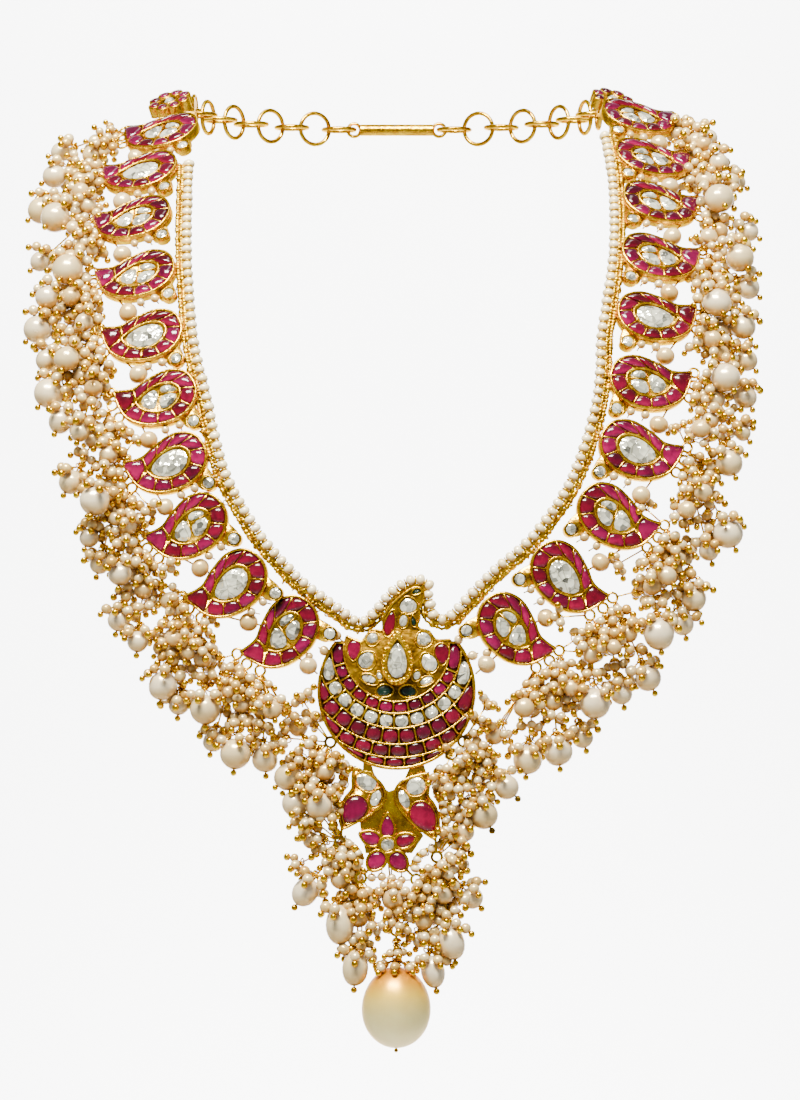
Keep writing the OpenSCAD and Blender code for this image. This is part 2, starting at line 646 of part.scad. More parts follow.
// Middle of the inner string: it follows the outward turn of the links,
// and comes back to the pendant's plane as it nears the middle
function string_point(p) =
    let (reach = STRING_REACH * tan(yaw_at(p.y)) * reach_share(p.x))
    [p.x, depth_at(p.y) - reach - mango_t / 2, p.y];
function reach_share(x) = min(1, max(0, (abs(x) - 12) / 20));

module inner_string(way) {
    color(PEARL) tube([for (p = way) string_point(p)], string_d);
}

// A point in a top flower's own plane, as a point of the necklace
function on_flower(side, p) =
    turn_z(turn_x(p, 90 - FLOWER_TILT), side * FLOWER_TURN) + FLOWER_LINKS[side == LEFT ? 0 : 1];

// Ruby flower at the top of a run, with the end bar and the eye that takes the back chain
module flower_link(side) {
    mid = FLOWER_LINKS[side == LEFT ? 0 : 1];
    eye = [CHAIN_MID.x + side * neck_r, CHAIN_MID.y, CHAIN_MID.z];
    from_y = mid.y + 0.9;
    first = side == LEFT ? LINKS_LEFT[0] : LINKS_RIGHT[0];
    seat = on_link(side, first, [FLOWER_SEAT.x, FLOWER_SEAT.y, mango_t / 2]);
    up = on_flower(side, [0, 0, 1]) - mid;
    start = mid + ROD_START.z * up + ROD_START.x * unit(seat - mid - up * (up * (seat - mid)));
    color(GOLD) {
        union() {
            difference() {
                at_flower(side)
                    linear_extrude(mango_t)
                        union() {
                            circle(r = FLOWER_R + 0.4, $fn = arc_fn);
                            for (i = [0:PETAL_COUNT - 1])
                                rotate(360 * i / PETAL_COUNT)
                                    translate([FLOWER_R, 0])
                                        circle(r = PETAL_R, $fn = arc_fn);
                        }
                at_flower(side)
                    translate([0, 0, mango_t - 1.2])
                        linear_extrude(mango_t)
                            flower_pockets(0);
                at_flower(side)
                    translate([0, 0, mango_t - 1.2])
                        linear_extrude(0.4)
                            flower_bed(0);
            }
            translate([eye.x - BAR[0] / 2, from_y, eye.z - BAR[1] / 2])
                cube([BAR[0], eye.y - EYE_R - from_y, BAR[1]]);
            translate(eye)
                ring(EYE_R, EYE_WIRE);
            rod(start, seat - unit(seat - start) * 0.1, ring_wire);
        }
    }
}
module flower_pockets(g) {
    circle(r = 1.9 - g, $fn = arc_fn);
    for (i = [0:PETAL_COUNT - 1])
        rotate(360 * i / PETAL_COUNT)
            translate([FLOWER_R, 0])
                circle(r = PETAL_R - 0.5 - g, $fn = arc_fn);
}
module at_flower(side) {
    translate(FLOWER_LINKS[side == LEFT ? 0 : 1])
        rotate([0, 0, side * FLOWER_TURN])
            rotate([90 - FLOWER_TILT, 0, 0])
                children();
}
module flower_rubies() {
    bed = mango_t - 1.2 + gap;
    color(RUBY)
        for (side = [LEFT, RIGHT])
            at_flower(side)
                union() {
                    translate([0, 0, bed])
                        linear_extrude(0.24)
                            flower_bed(gap);
                    for (i = [0:PETAL_COUNT - 1])
                        rotate(360 * i / PETAL_COUNT)
                            translate([FLOWER_R, 0, bed])
                                intersection() {
                                    cylinder(h = 3, r = PETAL_R - 0.5 - gap, $fn = 24);
                                    translate([0, 0, -0.5])
                                        sphere(r = 2.2, $fn = arc_fn);
                                }
                }
}
// Ring of foil under the ruby petals
module flower_bed(g) {
    difference() {
        circle(r = FLOWER_R + 0.4 - g, $fn = arc_fn);
        circle(r = FLOWER_R - 0.4 + g, $fn = arc_fn);
    }
}
module flower_polkis() {
    color(POLKI)
        for (side = [LEFT, RIGHT])
            at_flower(side)
                cut_stone(drop_edge(3.8 - 2 * gap, 3.8 - 2 * gap, 0, 10), mango_t - 1.2 + gap, mango_t - 0.2,
                    mango_t + 0.4);
}

// Flat outline of the crescent and its crest
module crescent_outline(inset) {
    intersection() {
        circle(r = disc_r - inset, $fn = 96);
        translate([-disc_r, -disc_r])
            square([2 * disc_r, disc_r + HORN_TOP - inset]);
    }
}
// One row of stones between two rings, g smaller all round
module row_ring(row, g) {
    intersection() {
        translate(RING_MID)
            difference() {
                circle(r = row[1] - g, $fn = 96);
                circle(r = row[0] + g, $fn = 96);
            }
        crescent_outline(rim_w + g);
    }
}
module row_walls(row, g) {
    translate(RING_MID)
        for (i = [1:row[2] - 1])
            rotate(row[3] + (i - row[2] / 2) * row[4])
                translate([row[0] - 1, -wall_w / 2 - g])
                    square([row[1] - row[0] + 2, wall_w + 2 * g]);
}
module row_cells(row, g) {
    difference() {
        row_ring(row, g);
        row_walls(row, g);
    }
}
module dome(extra) {
    translate([0, 0, dome_h - dome_r])
        sphere(r = dome_r + extra, $fn = 180);
}
// A slice of flat work between two levels under the domed face
module under_dome(low, high) {
    difference() {
        intersection() {
            linear_extrude(dome_h + 2)
                children();
            dome(high);
        }
        dome(low);
    }
}
module stone_pocket(s) {
    translate([0, 0, dome_at(s[0], s[1]) - 1.5])
        linear_extrude(6)
            polygon(stone_edge(s, 0));
}

// The crescent, its crest and the raised pear setting, soldered together
module pendant_crescent() {
    color(GOLD) {
        union() {
            at_pendant() {
                difference() {
                    union() {
                        intersection() {
                            translate([0, 0, back_z])
                                linear_extrude(dome_h)
                                    union() {
                                        crescent_outline(0);
                                        polygon(CREST_EDGE);
                                    }
                            dome(0);
                        }
                        translate([0, 0, back_z])
                            linear_extrude(crest_top - back_z)
                                intersection() {
                                    polygon(CREST_EDGE);
                                    translate([-disc_r, CREST_FROM])
                                        square([2 * disc_r, disc_r]);
                                }
                    }
                    for (row = ROWS) {
                        under_dome(-1.4, -1.05) row_ring(row, 0);
                        under_dome(-1.1, 2) row_cells(row, 0);
                    }
                    for (s = concat(CRESCENT_RUBIES, CRESCENT_POLKIS, CRESCENT_EMERALDS))
                        stone_pocket(s);
                }
                difference() {
                    translate([PEAR.x, PEAR.y, back_z + 1])
                        linear_extrude(dome_h + PEAR_RISE - back_z - 1)
                            polygon(drop_edge(PEAR_SIZE.x, PEAR_SIZE.y, 0.5, 20));
                    translate([PEAR.x, PEAR.y - 0.6, dome_h + PEAR_RISE - 1.8])
                        linear_extrude(3)
                            polygon(drop_edge(PEAR_STONE.x, PEAR_STONE.y, 0.4, 16));
                }
                for (s = PENDANT_STRANDS)
                    if (s[1] > -30)
                        strand_ring(s);
            }
            for (s = PENDANT_STRANDS)
                if (s[1] > -30)
                    strand_wire(s);
        }
    }
}

module strand_ring(s) {
    translate([s[0], s[1], STRAND_Z])
        hanging_ring();
    seat = [s[2], s[3], STRAND_Z];
    mid = [s[0], s[1], STRAND_Z];
    rod(seat, mid + ring_r * unit(seat - mid), ring_wire);
}
function pendant_pearl(s) = on_pendant([s[4], s[5], STRAND_Z + s[6]]);
function pendant_top(s) = on_pendant([s[0], s[1], STRAND_Z] + ring_r * unit([s[4] - s[0], s[5] - s[1], 0]));
module strand_wire(s) {
    top = pendant_top(s);
    p = pendant_pearl(s);
    end = p + unit(p - top) * (s[8] + ball_d) / 2;
    rod(top, end, pin_r);
    translate(end)
        sphere(d = ball_d, $fn = 24);
}

module flat_pocket(s) {
    translate([0, 0, lower_t - 1.5])
        linear_extrude(4)
            polygon(stone_edge(s, 0));
}

// Two keris and a flower soldered to a plate, with tabs behind the crescent
module pendant_lower() {
    color(GOLD) {
        union() {
            at_pendant() {
                difference() {
                    union() {
                        linear_extrude(1)
                            polygon(LOWER_PLATE);
                        linear_extrude(lower_t) {
                            polygon(KERI_LEFT);
                            polygon(KERI_RIGHT);
                            translate(FLOWER)
                                circle(r = FLOWER_STONE + 0.7, $fn = arc_fn);
                            for (s = PETALS)
                                polygon(stone_edge(s, -0.2));
                        }
                    }
                    for (s = concat(PETAL_STONES, KERI_RUBIES, KERI_POLKIS))
                        flat_pocket(s);
                    translate([FLOWER.x, FLOWER.y, lower_t - 1.5])
                        cylinder(h = 3, r = FLOWER_STONE, $fn = arc_fn);
                }
                for (s = PENDANT_STRANDS)
                    if (s[1] < -30)
                        strand_ring(s);
                rod([CENTRE_TOP.x, CENTRE_TOP.y, STRAND_Z],
                    [CENTRE_RING.x, CENTRE_RING.y + ring_r, STRAND_Z], pin_r);
                translate([CENTRE_RING.x, CENTRE_RING.y, STRAND_Z])
                    ring(ring_r, ring_wire);
            }
            for (s = PENDANT_STRANDS)
                if (s[1] < -30)
                    strand_wire(s);
        }
    }
}
PETAL_STONES = [for (s = PETALS) [s[0], s[1], s[2] - 1.3, s[3] - 1.6, s[4], s[5]]];

// A low cabochon in a drop shaped pocket
module cabochon(s, floor_z, proud) {
    dome = max(s[2], s[3]) * 0.75;
    intersection() {
        translate([0, 0, floor_z + gap])
            linear_extrude(4)
                polygon(stone_edge(s, gap));
        translate([s[0], s[1], floor_z + 1.5 + proud - dome])
            sphere(r = dome, $fn = arc_fn);
    }
}

module pendant_rubies() {
    color(RUBY)
        at_pendant() {
            for (i = [0:len(ROWS) - 1])
                if (i != POLKI_ROW)
                    row_stones(ROWS[i]);
            for (s = CRESCENT_RUBIES)
                cabochon(s, dome_at(s[0], s[1]) - 1.5, 0.3);
            for (s = concat(PETAL_STONES, KERI_RUBIES))
                cabochon(s, lower_t - 1.5, 0.7);
        }
}
// A row of stones joined by the foil bed under the walls
module row_stones(row) {
    union() {
        under_dome(-1.32, -1.13) row_ring(row, gap);
        under_dome(-1.2, 0.3) row_cells(row, gap);
    }
}

module pendant_polkis() {
    color(POLKI)
        at_pendant() {
            for (s = CRESCENT_POLKIS)
                cut_on_dome(s);
            for (s = KERI_POLKIS)
                cut_stone(stone_edge(s, gap), lower_t - 1.5 + gap, lower_t - 0.3, lower_t + 0.4);
            translate([FLOWER.x, FLOWER.y])
                cut_stone(drop_edge(2 * (FLOWER_STONE - gap), 2 * (FLOWER_STONE - gap), 0, 12),
                    lower_t - 1.5 + gap, lower_t - 0.2, lower_t + 0.6);
            translate([PEAR.x, PEAR.y - 0.6])
                cut_stone(drop_edge(PEAR_STONE.x - 2 * gap, PEAR_STONE.y - 2 * gap, 0.4, 14),
                    dome_h + PEAR_RISE - 1.8 + gap, dome_h + PEAR_RISE - 0.3, dome_h + PEAR_RISE + 0.9);
        }
}
module crescent_polkis() {
    color(POLKI)
        at_pendant()
            row_stones(ROWS[POLKI_ROW]);
}
module cut_on_dome(s) {
    top = dome_at(s[0], s[1]);
    cut_stone(stone_edge(s, gap), top - 1.5 + gap, top - 0.2, top + 0.4);
}

module pendant_emeralds() {
    color(EMERALD)
        at_pendant()
            for (s = CRESCENT_EMERALDS)
                cut_on_dome(s);
}

module keri_string(way) {
    color(PEARL) tube([for (p = way) on_pendant([p.x, p.y, FINE_STRING_Z])], FINE_STRING_D);
}

module pendant_pearls() {
    color(PEARL) {
        for (s = PENDANT_STRANDS) {
            top = pendant_top(s);
            p = pendant_pearl(s);
            pearl_on(top, p, 1, s[7], s[8]);
            if (s[9] == 1)
                pearl_on(top, p, MID_SHARE, mid_pearl - 0.4, mid_pearl - 0.4);
        }
        top = on_pendant([CENTRE_TOP.x, CENTRE_TOP.y, STRAND_Z]);
        low = on_pendant([CENTRE_RING.x, CENTRE_RING.y + ring_r, STRAND_Z]);
        pearl_on(top, low, CENTRE_PEARL, mid_pearl, mid_pearl);
    }
}

// Hinge of the golden drop: its ring hangs on the lowest wire of the pendant's centre ring
function swing_point() = on_pendant([CENTRE_RING.x, CENTRE_RING.y - ring_r, STRAND_Z]);
drop_ring_mid = swing_point() + [0, 0, 2 * ring_wire + drop_swing - ring_r];
golden_mid = [drop_ring_mid.x, drop_ring_mid.y, -240];

module golden_drop_wire() {
    color(GOLD) {
        union() {
            translate(drop_ring_mid)
                rotate([0, 90, 0])
                    ring(ring_r, ring_wire);
            top_z = golden_mid.z + gold_pearl_h / 2;
            low_z = golden_mid.z - gold_pearl_h / 2;
            rod(drop_ring_mid - [0, 0, ring_r], [golden_mid.x, golden_mid.y, low_z - 0.3], pin_r);
            translate([golden_mid.x, golden_mid.y, top_z + 0.1])
                cylinder(h = drop_cap_h, r1 = 1.6, r2 = 0.6, $fn = 24);
            translate([golden_mid.x, golden_mid.y, low_z - 0.55])
                sphere(d = 1.1, $fn = 24);
        }
    }
}

module golden_pearl() {
    color(GOLDEN)
        pearl_on(golden_mid - [0, 0, 1], golden_mid, 1, gold_pearl_w, gold_pearl_h);
}

// Half of the plain chain round the back of the neck, from an eye to the clasp
module back_chain(side) {
    first = 2 * asin(link_r / 2 / neck_r);
    pitch = 2 * asin(link_pitch / 2 / neck_r);
    color(GOLD)
        for (i = [0:LINKS_A_SIDE - 1])
            translate(CHAIN_MID)
                rotate(side == RIGHT ? first + i * pitch : 180 - first - i * pitch)
                    translate([neck_r, 0, 0])
                        rotate([0, i % 2 == 0 ? 90 : 0, 0])
                            ring(link_r, link_wire);
}

// One plain piece that joins the two ends of the chain
module clasp() {
    first = 2 * asin(link_r / 2 / neck_r);
    pitch = 2 * asin(link_pitch / 2 / neck_r);
    end_angle = 2 * first + (LINKS_A_SIDE - 1) * pitch;
    half = neck_r * cos(end_angle);
    back = neck_r * sin(end_angle);
    color(GOLD)
        translate(CHAIN_MID)
            union() {
                translate([EYE_R - half, back, 0])
                    rotate([0, 90, 0])
                        cylinder(h = 2 * (half - EYE_R), r = 1.7, $fn = arc_fn);
                for (s = [-1, 1])
                    translate([s * half, back, 0])
                        rotate([90, 0, 0])
                            ring(EYE_R, EYE_WIRE);
            }
}

module mango_left(k) { mango(LEFT, LINKS_LEFT, FRINGE_LEFT, k); }
module mango_right(k) { mango(RIGHT, LINKS_RIGHT, FRINGE_RIGHT, k); }

mango_left(0);  // mango_left_01
mango_left(1);  // mango_left_02
mango_left(2);  // mango_left_03
mango_left(3);  // mango_left_04
mango_left(4);  // mango_left_05
mango_left(5);  // mango_left_06
mango_left(6);  // mango_left_07
mango_left(7);  // mango_left_08
mango_left(8);  // mango_left_09
mango_left(9);  // mango_left_10
mango_right(0);  // mango_right_01
mango_right(1);  // mango_right_02
mango_right(2);  // mango_right_03
mango_right(3);  // mango_right_04
mango_right(4);  // mango_right_05
mango_right(5);  // mango_right_06
mango_right(6);  // mango_right_07
mango_right(7);  // mango_right_08
mango_right(8);  // mango_right_09
mango_right(9);  // mango_right_10
mango_rubies(LEFT, LINKS_LEFT);  // mango_rubies_left
mango_rubies(RIGHT, LINKS_RIGHT);  // mango_rubies_right
mango_polkis(LEFT, LINKS_LEFT);  // mango_polkis_left
mango_polkis(RIGHT, LINKS_RIGHT);  // mango_polkis_right
link_pearls(LEFT, LINKS_LEFT);  // link_pearls_left
link_pearls(RIGHT, LINKS_RIGHT);  // link_pearls_right
fringe_pearls(LEFT, LINKS_LEFT, FRINGE_LEFT);  // fringe_pearls_left
fringe_pearls(RIGHT, LINKS_RIGHT, FRINGE_RIGHT);  // fringe_pearls_right
inner_string(STRING_LEFT);  // inner_string_left
inner_string(STRING_RIGHT);  // inner_string_right
flower_link(LEFT);  // flower_link_left
flower_link(RIGHT);  // flower_link_right
flower_rubies();
flower_polkis();
pendant_crescent();
pendant_lower();
pendant_rubies();
pendant_polkis();
crescent_polkis();
pendant_emeralds();
keri_string(KERI_STRING_LEFT);  // keri_string_left
keri_string(KERI_STRING_RIGHT);  // keri_string_right
pendant_pearls();
golden_pearl();
golden_drop_wire();
back_chain(LEFT);  // back_chain_left
back_chain(RIGHT);  // back_chain_right
clasp();
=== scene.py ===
import math
import random

import bpy
import numpy as np
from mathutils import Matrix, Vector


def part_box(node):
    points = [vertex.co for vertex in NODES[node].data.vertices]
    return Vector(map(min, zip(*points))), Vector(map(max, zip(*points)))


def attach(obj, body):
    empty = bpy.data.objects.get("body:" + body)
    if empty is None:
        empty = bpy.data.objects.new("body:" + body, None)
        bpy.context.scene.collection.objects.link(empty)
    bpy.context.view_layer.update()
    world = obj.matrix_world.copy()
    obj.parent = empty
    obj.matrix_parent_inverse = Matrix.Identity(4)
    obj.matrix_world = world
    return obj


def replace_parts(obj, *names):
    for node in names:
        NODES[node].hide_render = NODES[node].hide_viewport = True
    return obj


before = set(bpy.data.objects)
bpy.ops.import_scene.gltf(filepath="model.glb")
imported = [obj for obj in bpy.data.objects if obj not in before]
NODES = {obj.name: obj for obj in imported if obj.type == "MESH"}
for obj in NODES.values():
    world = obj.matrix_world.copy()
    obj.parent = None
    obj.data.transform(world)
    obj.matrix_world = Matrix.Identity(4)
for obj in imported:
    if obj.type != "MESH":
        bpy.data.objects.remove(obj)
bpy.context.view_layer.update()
MM = 0.001

# Drape, links, rings and pendant sizes, as in the part's source
FRONT_REACH = 75.0
DROP_BEND = 150.0
CHEST_POWER = 2.5
LEAN = 5.7
TURN_LOW = 8.0
TURN_MORE = 20.0
MANGO_T = 3.0
HALF_T = MANGO_T / 2
RIM_W = 0.7
WALL_W = 0.5
COLLET_R = 2.0
RING_R = 1.3
RING_WIRE = 0.35
PIN_R = 0.25
BALL_D = 1.7
LINK_PEARL = 4.8
MID_PEARL = 5.0
STRING_REACH = 11.5
# Small pearls beside the one between two links, in the upper link's plane: x, y
BESIDE_LINK = [[2.2, -8.6], [5.9, -7.3]]
LEFT = -1
RIGHT = 1

# Mango links, top to bottom: x, z, turn of the tip downwards, stones in the middle
LINKS = {
    LEFT: [
        [-64.1, -9.1, -4, 3], [-69.2, -21, -3, 1], [-70.3, -34.6, 0, 3], [-68.5, -50.4, 0, 3],
        [-66.1, -66.9, -3, 1], [-62, -83.3, 0, 3], [-59, -100.2, 7, 1], [-53.4, -116.5, 18, 3],
        [-42.9, -131.3, 22, 1], [-29.1, -143.8, 32, 3],
    ],
    RIGHT: [
        [65.4, -4.5, -4, 3], [68.3, -17.1, -3, 3], [69.7, -30.1, -2, 3], [68.8, -45.4, -4, 3],
        [67.2, -61.8, -9, 1], [64.9, -79.3, -6, 3], [61.9, -96.8, 4, 1], [55.7, -113.9, 17, 3],
        [42.9, -129.5, 31, 1], [29.1, -143, 32, 3],
    ],
}
# Outline of a mango link in its own plane, clockwise from the upper side of its tip: x, y
MANGO_EDGE = [
    [-12.4, 2.1], [-7.6, 2.6], [-3.9, 5.3], [1.4, 8], [6.3, 7.6], [9.3, 4.5], [10.1, 0.6],
    [8.5, -3.6], [4.7, -6.6], [0.2, -7.8], [-4.3, -7.7], [-8.4, -5.9], [-10.9, -2.8], [-12.4, 0.6],
]
# Outline of the polki in its middle, a little lower and flatter than in the part's source: x, y
MIDDLE_EDGE = [
    [-5.9, -1.3], [-3.1, 1.7], [-0.2, 3.4], [2.7, 3.8], [4.8, 2.6], [5.1, 0.1], [3.1, -2.6],
    [-0.2, -3.8], [-3.9, -3.1], [-5.9, -1.3],
]
# Walls between the rubies: step along the outer outline, step along the middle outline
WALLS = [
    [1.05, 0.1], [2.2, 0.9], [3.1, 1.8], [4.2, 2.9], [5.4, 4.1], [6.7, 5.2], [7.8, 6.05],
    [8.95, 6.95], [10.15, 7.85], [11.4, 8.9],
]
EDGE_STEP = 4.6
MIDDLE_STEP = 3.3
# The cell at the tip: where it goes on past the outline's start, and its corner at the middle outline
TIP_START = 0.15
TIP_CORNER = [-6.8, -0.9]
# Sides of the circle that cells are cut by, and how far stones reach down below their rims
CIRCLE_SIDES = 72
CUSHION_SINK = 0.7
CUT_SINK = 0.6
# Grooves that part a middle set of three polkis: start x, y, direction
POLKI_GROOVES = [[0, -5, 93], [-0.3, 0.9, 10]]
GROOVE_REACH = 11.0
GROOVE_HALF = 0.12
COLLET = [9.9, -6.6]
COLLET_NECK = [[5, -4], [7.5, -8], [11, -8], [11.5, -5], [8.5, 0]]
# Hanging rings of a link: x, y, then the point on the body that they are soldered to
RINGS = [[-10.7, -5, -9.4, -3.9], [-12.8, -1.6, -11, -1], [-13.6, 2, -11.8, 1.4]]
LINK_PIN = [-4.4, -7.3]
LINK_SEAT = [-4.6, 5.2]
LAST_PIN = [-0.4, -7.4]
# Where the last link's pin ends on the crescent's edge: radius, degrees, height
CRESCENT_SEAT = [20.9, 12, 2.4]
PEARL_SHARE = 0.66

# Fringe strands: link, ring, x and z of the large pearl, how far it stands forward, its diameter
FRINGE = {
    LEFT: [
        [0, 2, -93.5, -12, 0, 5.6], [0, 1, -94.5, -19.5, 0, 6.6],
        [1, 2, -97.5, -29.5, -3, 7.4], [1, 1, -92.5, -32.5, 3, 8.2],
        [2, 2, -96.5, -44.5, -2.5, 5.6], [2, 0, -88, -47.5, 3, 8.4], [2, 1, -93.5, -55, 0, 6.5],
        [3, 2, -96, -63.5, -2, 7.6], [3, 1, -93, -72, -2.5, 6.2], [3, 0, -87, -72, 3, 6.8],
        [4, 2, -92, -81, 0, 8], [4, 1, -88.5, -88.5, 0, 6.4], [4, 0, -83, -91.5, 2, 5.2],
        [5, 1, -85.5, -104.5, 0, 6.4], [5, 0, -78.6, -109.5, 5, 7.8],
        [6, 2, -80.4, -119, 0.5, 5.2], [6, 1, -77.8, -126, -3, 5.2], [6, 0, -72, -128.5, 2, 6.2],
        [7, 2, -72.5, -140.5, 0, 6], [7, 1, -67.5, -146, 1, 5.6],
        [8, 2, -61, -157.5, 1, 7.8], [8, 1, -57, -162.5, -3, 5.4], [8, 0, -50, -163.5, 1, 7.8],
        [9, 2, -48, -172, -2.5, 5.6], [9, 1, -42, -175, 2, 8.2], [9, 0, -34.5, -176.5, -1, 7],
    ],
    RIGHT: [
        [0, 2, 86, -8, 0, 5], [0, 1, 87.5, -16.5, 4, 5.4],
        [1, 2, 93, -21.5, -1, 4.6], [1, 1, 86.5, -27.5, 5.6, 8],
        [2, 2, 95, -36, -1, 5.4], [2, 1, 91.5, -44, 2, 7.6],
        [3, 2, 94, -52, -3, 6.2], [3, 0, 84.5, -56.8, 3, 7.6], [3, 1, 91.6, -63, -1, 6.8],
        [4, 2, 92.5, -72, -3, 5.8], [4, 1, 91.5, -82, -2, 6.2], [4, 0, 86, -77, 3, 7.8],
        [5, 2, 90.5, -91.5, -1, 4.4], [5, 1, 86.5, -99.5, 0, 7.2],
        [6, 2, 86, -118, 0, 8], [6, 1, 81, -122.5, -3, 5.4],
        [7, 2, 77, -135, -1, 6.6], [7, 1, 74, -141.5, -3, 6.2], [7, 0, 67.5, -144, 3, 8.2],
        [8, 2, 65, -155.5, 0, 7], [8, 1, 58, -159.5, -2, 6], [8, 0, 51, -162, 2, 8],
        [9, 2, 48, -171, -2, 5.6], [9, 1, 41.5, -174.5, 2, 7.4], [9, 0, 33.5, -176.5, 0, 7.6],
    ],
}
# The photo's camera and scale: its place in metres, its distance from the plane of one pixel's size
CAMERA_PLACE = (0.0005, -1.175, -0.1222)
CAMERA_REACH = 1100.0
PIXEL_MM = 0.26
PHOTO_MIDDLE = (400, 550)
# Middle pearls that only the scene has: column, row and width in the photo's pixels
MORE_PEARLS = {
    LEFT: [
        [95, 141, 14], [96, 165, 14], [81, 180, 17], [81, 192, 19], [88, 206, 18], [73, 228, 15],
        [84, 243, 17], [92, 251, 13], [71, 297, 20], [81, 326, 20], [84, 376, 15], [94, 393, 18],
        [93, 438, 19], [112, 455, 20], [116, 519, 15], [134, 530, 16], [135, 577, 14], [150, 595, 18],
        [170, 601, 19], [174, 639, 17], [160, 648, 15], [188, 653, 14], [208, 663, 19], [247, 706, 19],
        [272, 710, 19], [228, 692, 13], [298, 727, 20], [327, 776, 18],
    ],
    RIGHT: [
        [678, 133, 14], [680, 147, 15], [698, 174, 14], [696, 186, 14], [709, 237, 18], [704, 278, 18],
        [712, 339, 19], [701, 429, 20], [703, 493, 19], [688, 553, 18], [667, 576, 20], [614, 647, 16],
        [594, 653, 21], [571, 688, 17], [547, 702, 20], [524, 708, 21], [650, 588, 20], [687, 510, 19],
        [494, 736, 19], [480, 766, 18], [458, 786, 17], [704, 144, 17], [732, 181, 16], [709, 475, 16],
    ],
    0: [
        [288, 777, 27], [295, 804, 27], [311, 840, 18], [343, 876, 17], [363, 908, 19], [443, 889, 20],
        [421, 916, 18], [465, 832, 20], [450, 905, 17],
    ],
}
# Further bunches of small pearls, on the rings of a side or of the pendant: column, row and number
MORE_BUNCHES = {
    LEFT: [[165, 566, 4], [150, 507, 3], [133, 441, 3], [205, 618, 3], [244, 712, 4], [262, 722, 4]],
    RIGHT: [[620, 563, 4], [645, 508, 3], [678, 428, 3], [560, 617, 3], [575, 640, 3]],
    0: [
        [318, 748, 6], [306, 758, 6], [333, 762, 5], [316, 775, 6], [303, 790, 6], [330, 793, 5],
        [322, 815, 6], [332, 815, 3], [312, 828, 5], [342, 845, 4], [338, 858, 5], [352, 873, 5],
        [352, 893, 5], [372, 893, 4], [375, 925, 5], [362, 940, 4], [475, 722, 5], [468, 742, 6],
        [482, 755, 6], [462, 762, 5], [475, 775, 6], [455, 785, 6], [470, 798, 6], [452, 812, 5],
        [462, 820, 6], [448, 840, 6], [458, 860, 6], [440, 870, 5], [432, 890, 5], [420, 884, 4],
        [410, 905, 5], [430, 905, 5], [418, 932, 5], [402, 925, 4], [304, 702, 5], [314, 724, 5],
        [287, 738, 4], [486, 706, 4], [301, 863, 4], [452, 752, 3], [440, 777, 3],
    ],
}
# Four small pearls under the flower, and the ends of their wire at its rings: x, y
FLOWER_PEARLS = [[-6.4, -48.3], [-3.8, -48.1], [-1.3, -48.5], [1.3, -49]]
FLOWER_WIRE_ENDS = [[-8, -48.4], [3.9, -48.9]]
# Small pearls beside the horns of the crescent: x, y
HORN_PEARLS = [[-15.6, 14.3], [-18.8, 10.4], [16.1, 13.2], [19.7, 9.1]]
MID_SHARE = 0.42
PEARL_ROOM = 1.6
RING_ROOM = 5.0
# Radii of thin wires, the coil at the top of a strand, and how far a small pearl may be pushed
FINE_WIRE = 0.22
THIN_WIRE = 0.2
HAIR_WIRE = 0.17
COIL_R = 0.5
COIL_WIRE = 0.19
COIL_TURNS = 4
LEASH = 1.6
SETTLE_ROUNDS = 30

# Way of the seed pearl strings along the inner edge of the links and close round the crest: x, z
STRINGS = {
    LEFT: [
        [-56.8, -17.5], [-56.8, -20.5], [-56.7, -26], [-56.6, -33.3], [-56.4, -40], [-56, -46.8],
        [-55.3, -53.5], [-54.6, -61], [-53.4, -69.4], [-51.4, -77], [-49.9, -83], [-48.8, -88],
        [-47.4, -94], [-45.2, -101.6], [-42.4, -107.6], [-38.9, -113.6], [-34.9, -119.6], [-32, -123],
        [-28, -127.4], [-24.2, -131], [-19, -134.9], [-14.7, -138], [-11.6, -140.4], [-8.5, -140.6],
        [-5.7, -137.8], [-3.1, -134.6], [0.4, -131.5], [4, -129.9], [6.6, -130.1], [8.1, -131.3],
    ],
    RIGHT: [
        [56.5, -9], [57.5, -16], [58, -24], [58, -32.5], [57.5, -41], [56.5, -49], [55, -57.5],
        [53.5, -66], [53, -74.5], [52, -82.5], [50, -90.5], [47.5, -98], [44.5, -105], [40.5, -111.5],
        [36, -117.5], [31, -122.5], [25.5, -127], [20, -132.6], [15.7, -137.3], [12.2, -140.2],
        [9.3, -139.2], [8.3, -136], [7.9, -133.8],
    ],
}

# Pendant: crescent, seen from the front round the middle of its disc
DISC_R = 20.5
DOME_R = 70.0
DOME_H = 5.6
LOWER_T = 3.2
PENDANT_X = -0.4
PENDANT_Z = -158.9
RING_MID = [0, 10.7]
HORN_TOP = 12.9
CREST_FROM = 15.6
CREST_TOP = 3.7
CREST_EDGE = [
    [14.6, 8], [14.3, 13.2], [10.4, 13.2], [8.8, 15.4], [6.6, 16], [5.6, 16.8], [6.2, 19], [6, 21.7],
    [7.1, 24.3], [6.9, 26.3], [4.8, 27.1], [1.4, 25.1], [-1.7, 22.2], [-3.6, 19], [-3.8, 15.8],
    [-7, 15.7], [-9.4, 12.6], [-13.3, 14.2], [-14.6, 8],
]
# Rows of stones: inner radius, outer radius, number, middle of the row and pitch in degrees
ROWS = [
    [13.9, 16.6, 12, 267, 14.3], [17, 20.4, 12, 268, 12.3], [20.8, 24.5, 11, 266, 11],
    [24.9, 27.9, 9, 271, 10], [28.3, 32, 5, 269, 9.9],
]
POLKI_ROW = 1
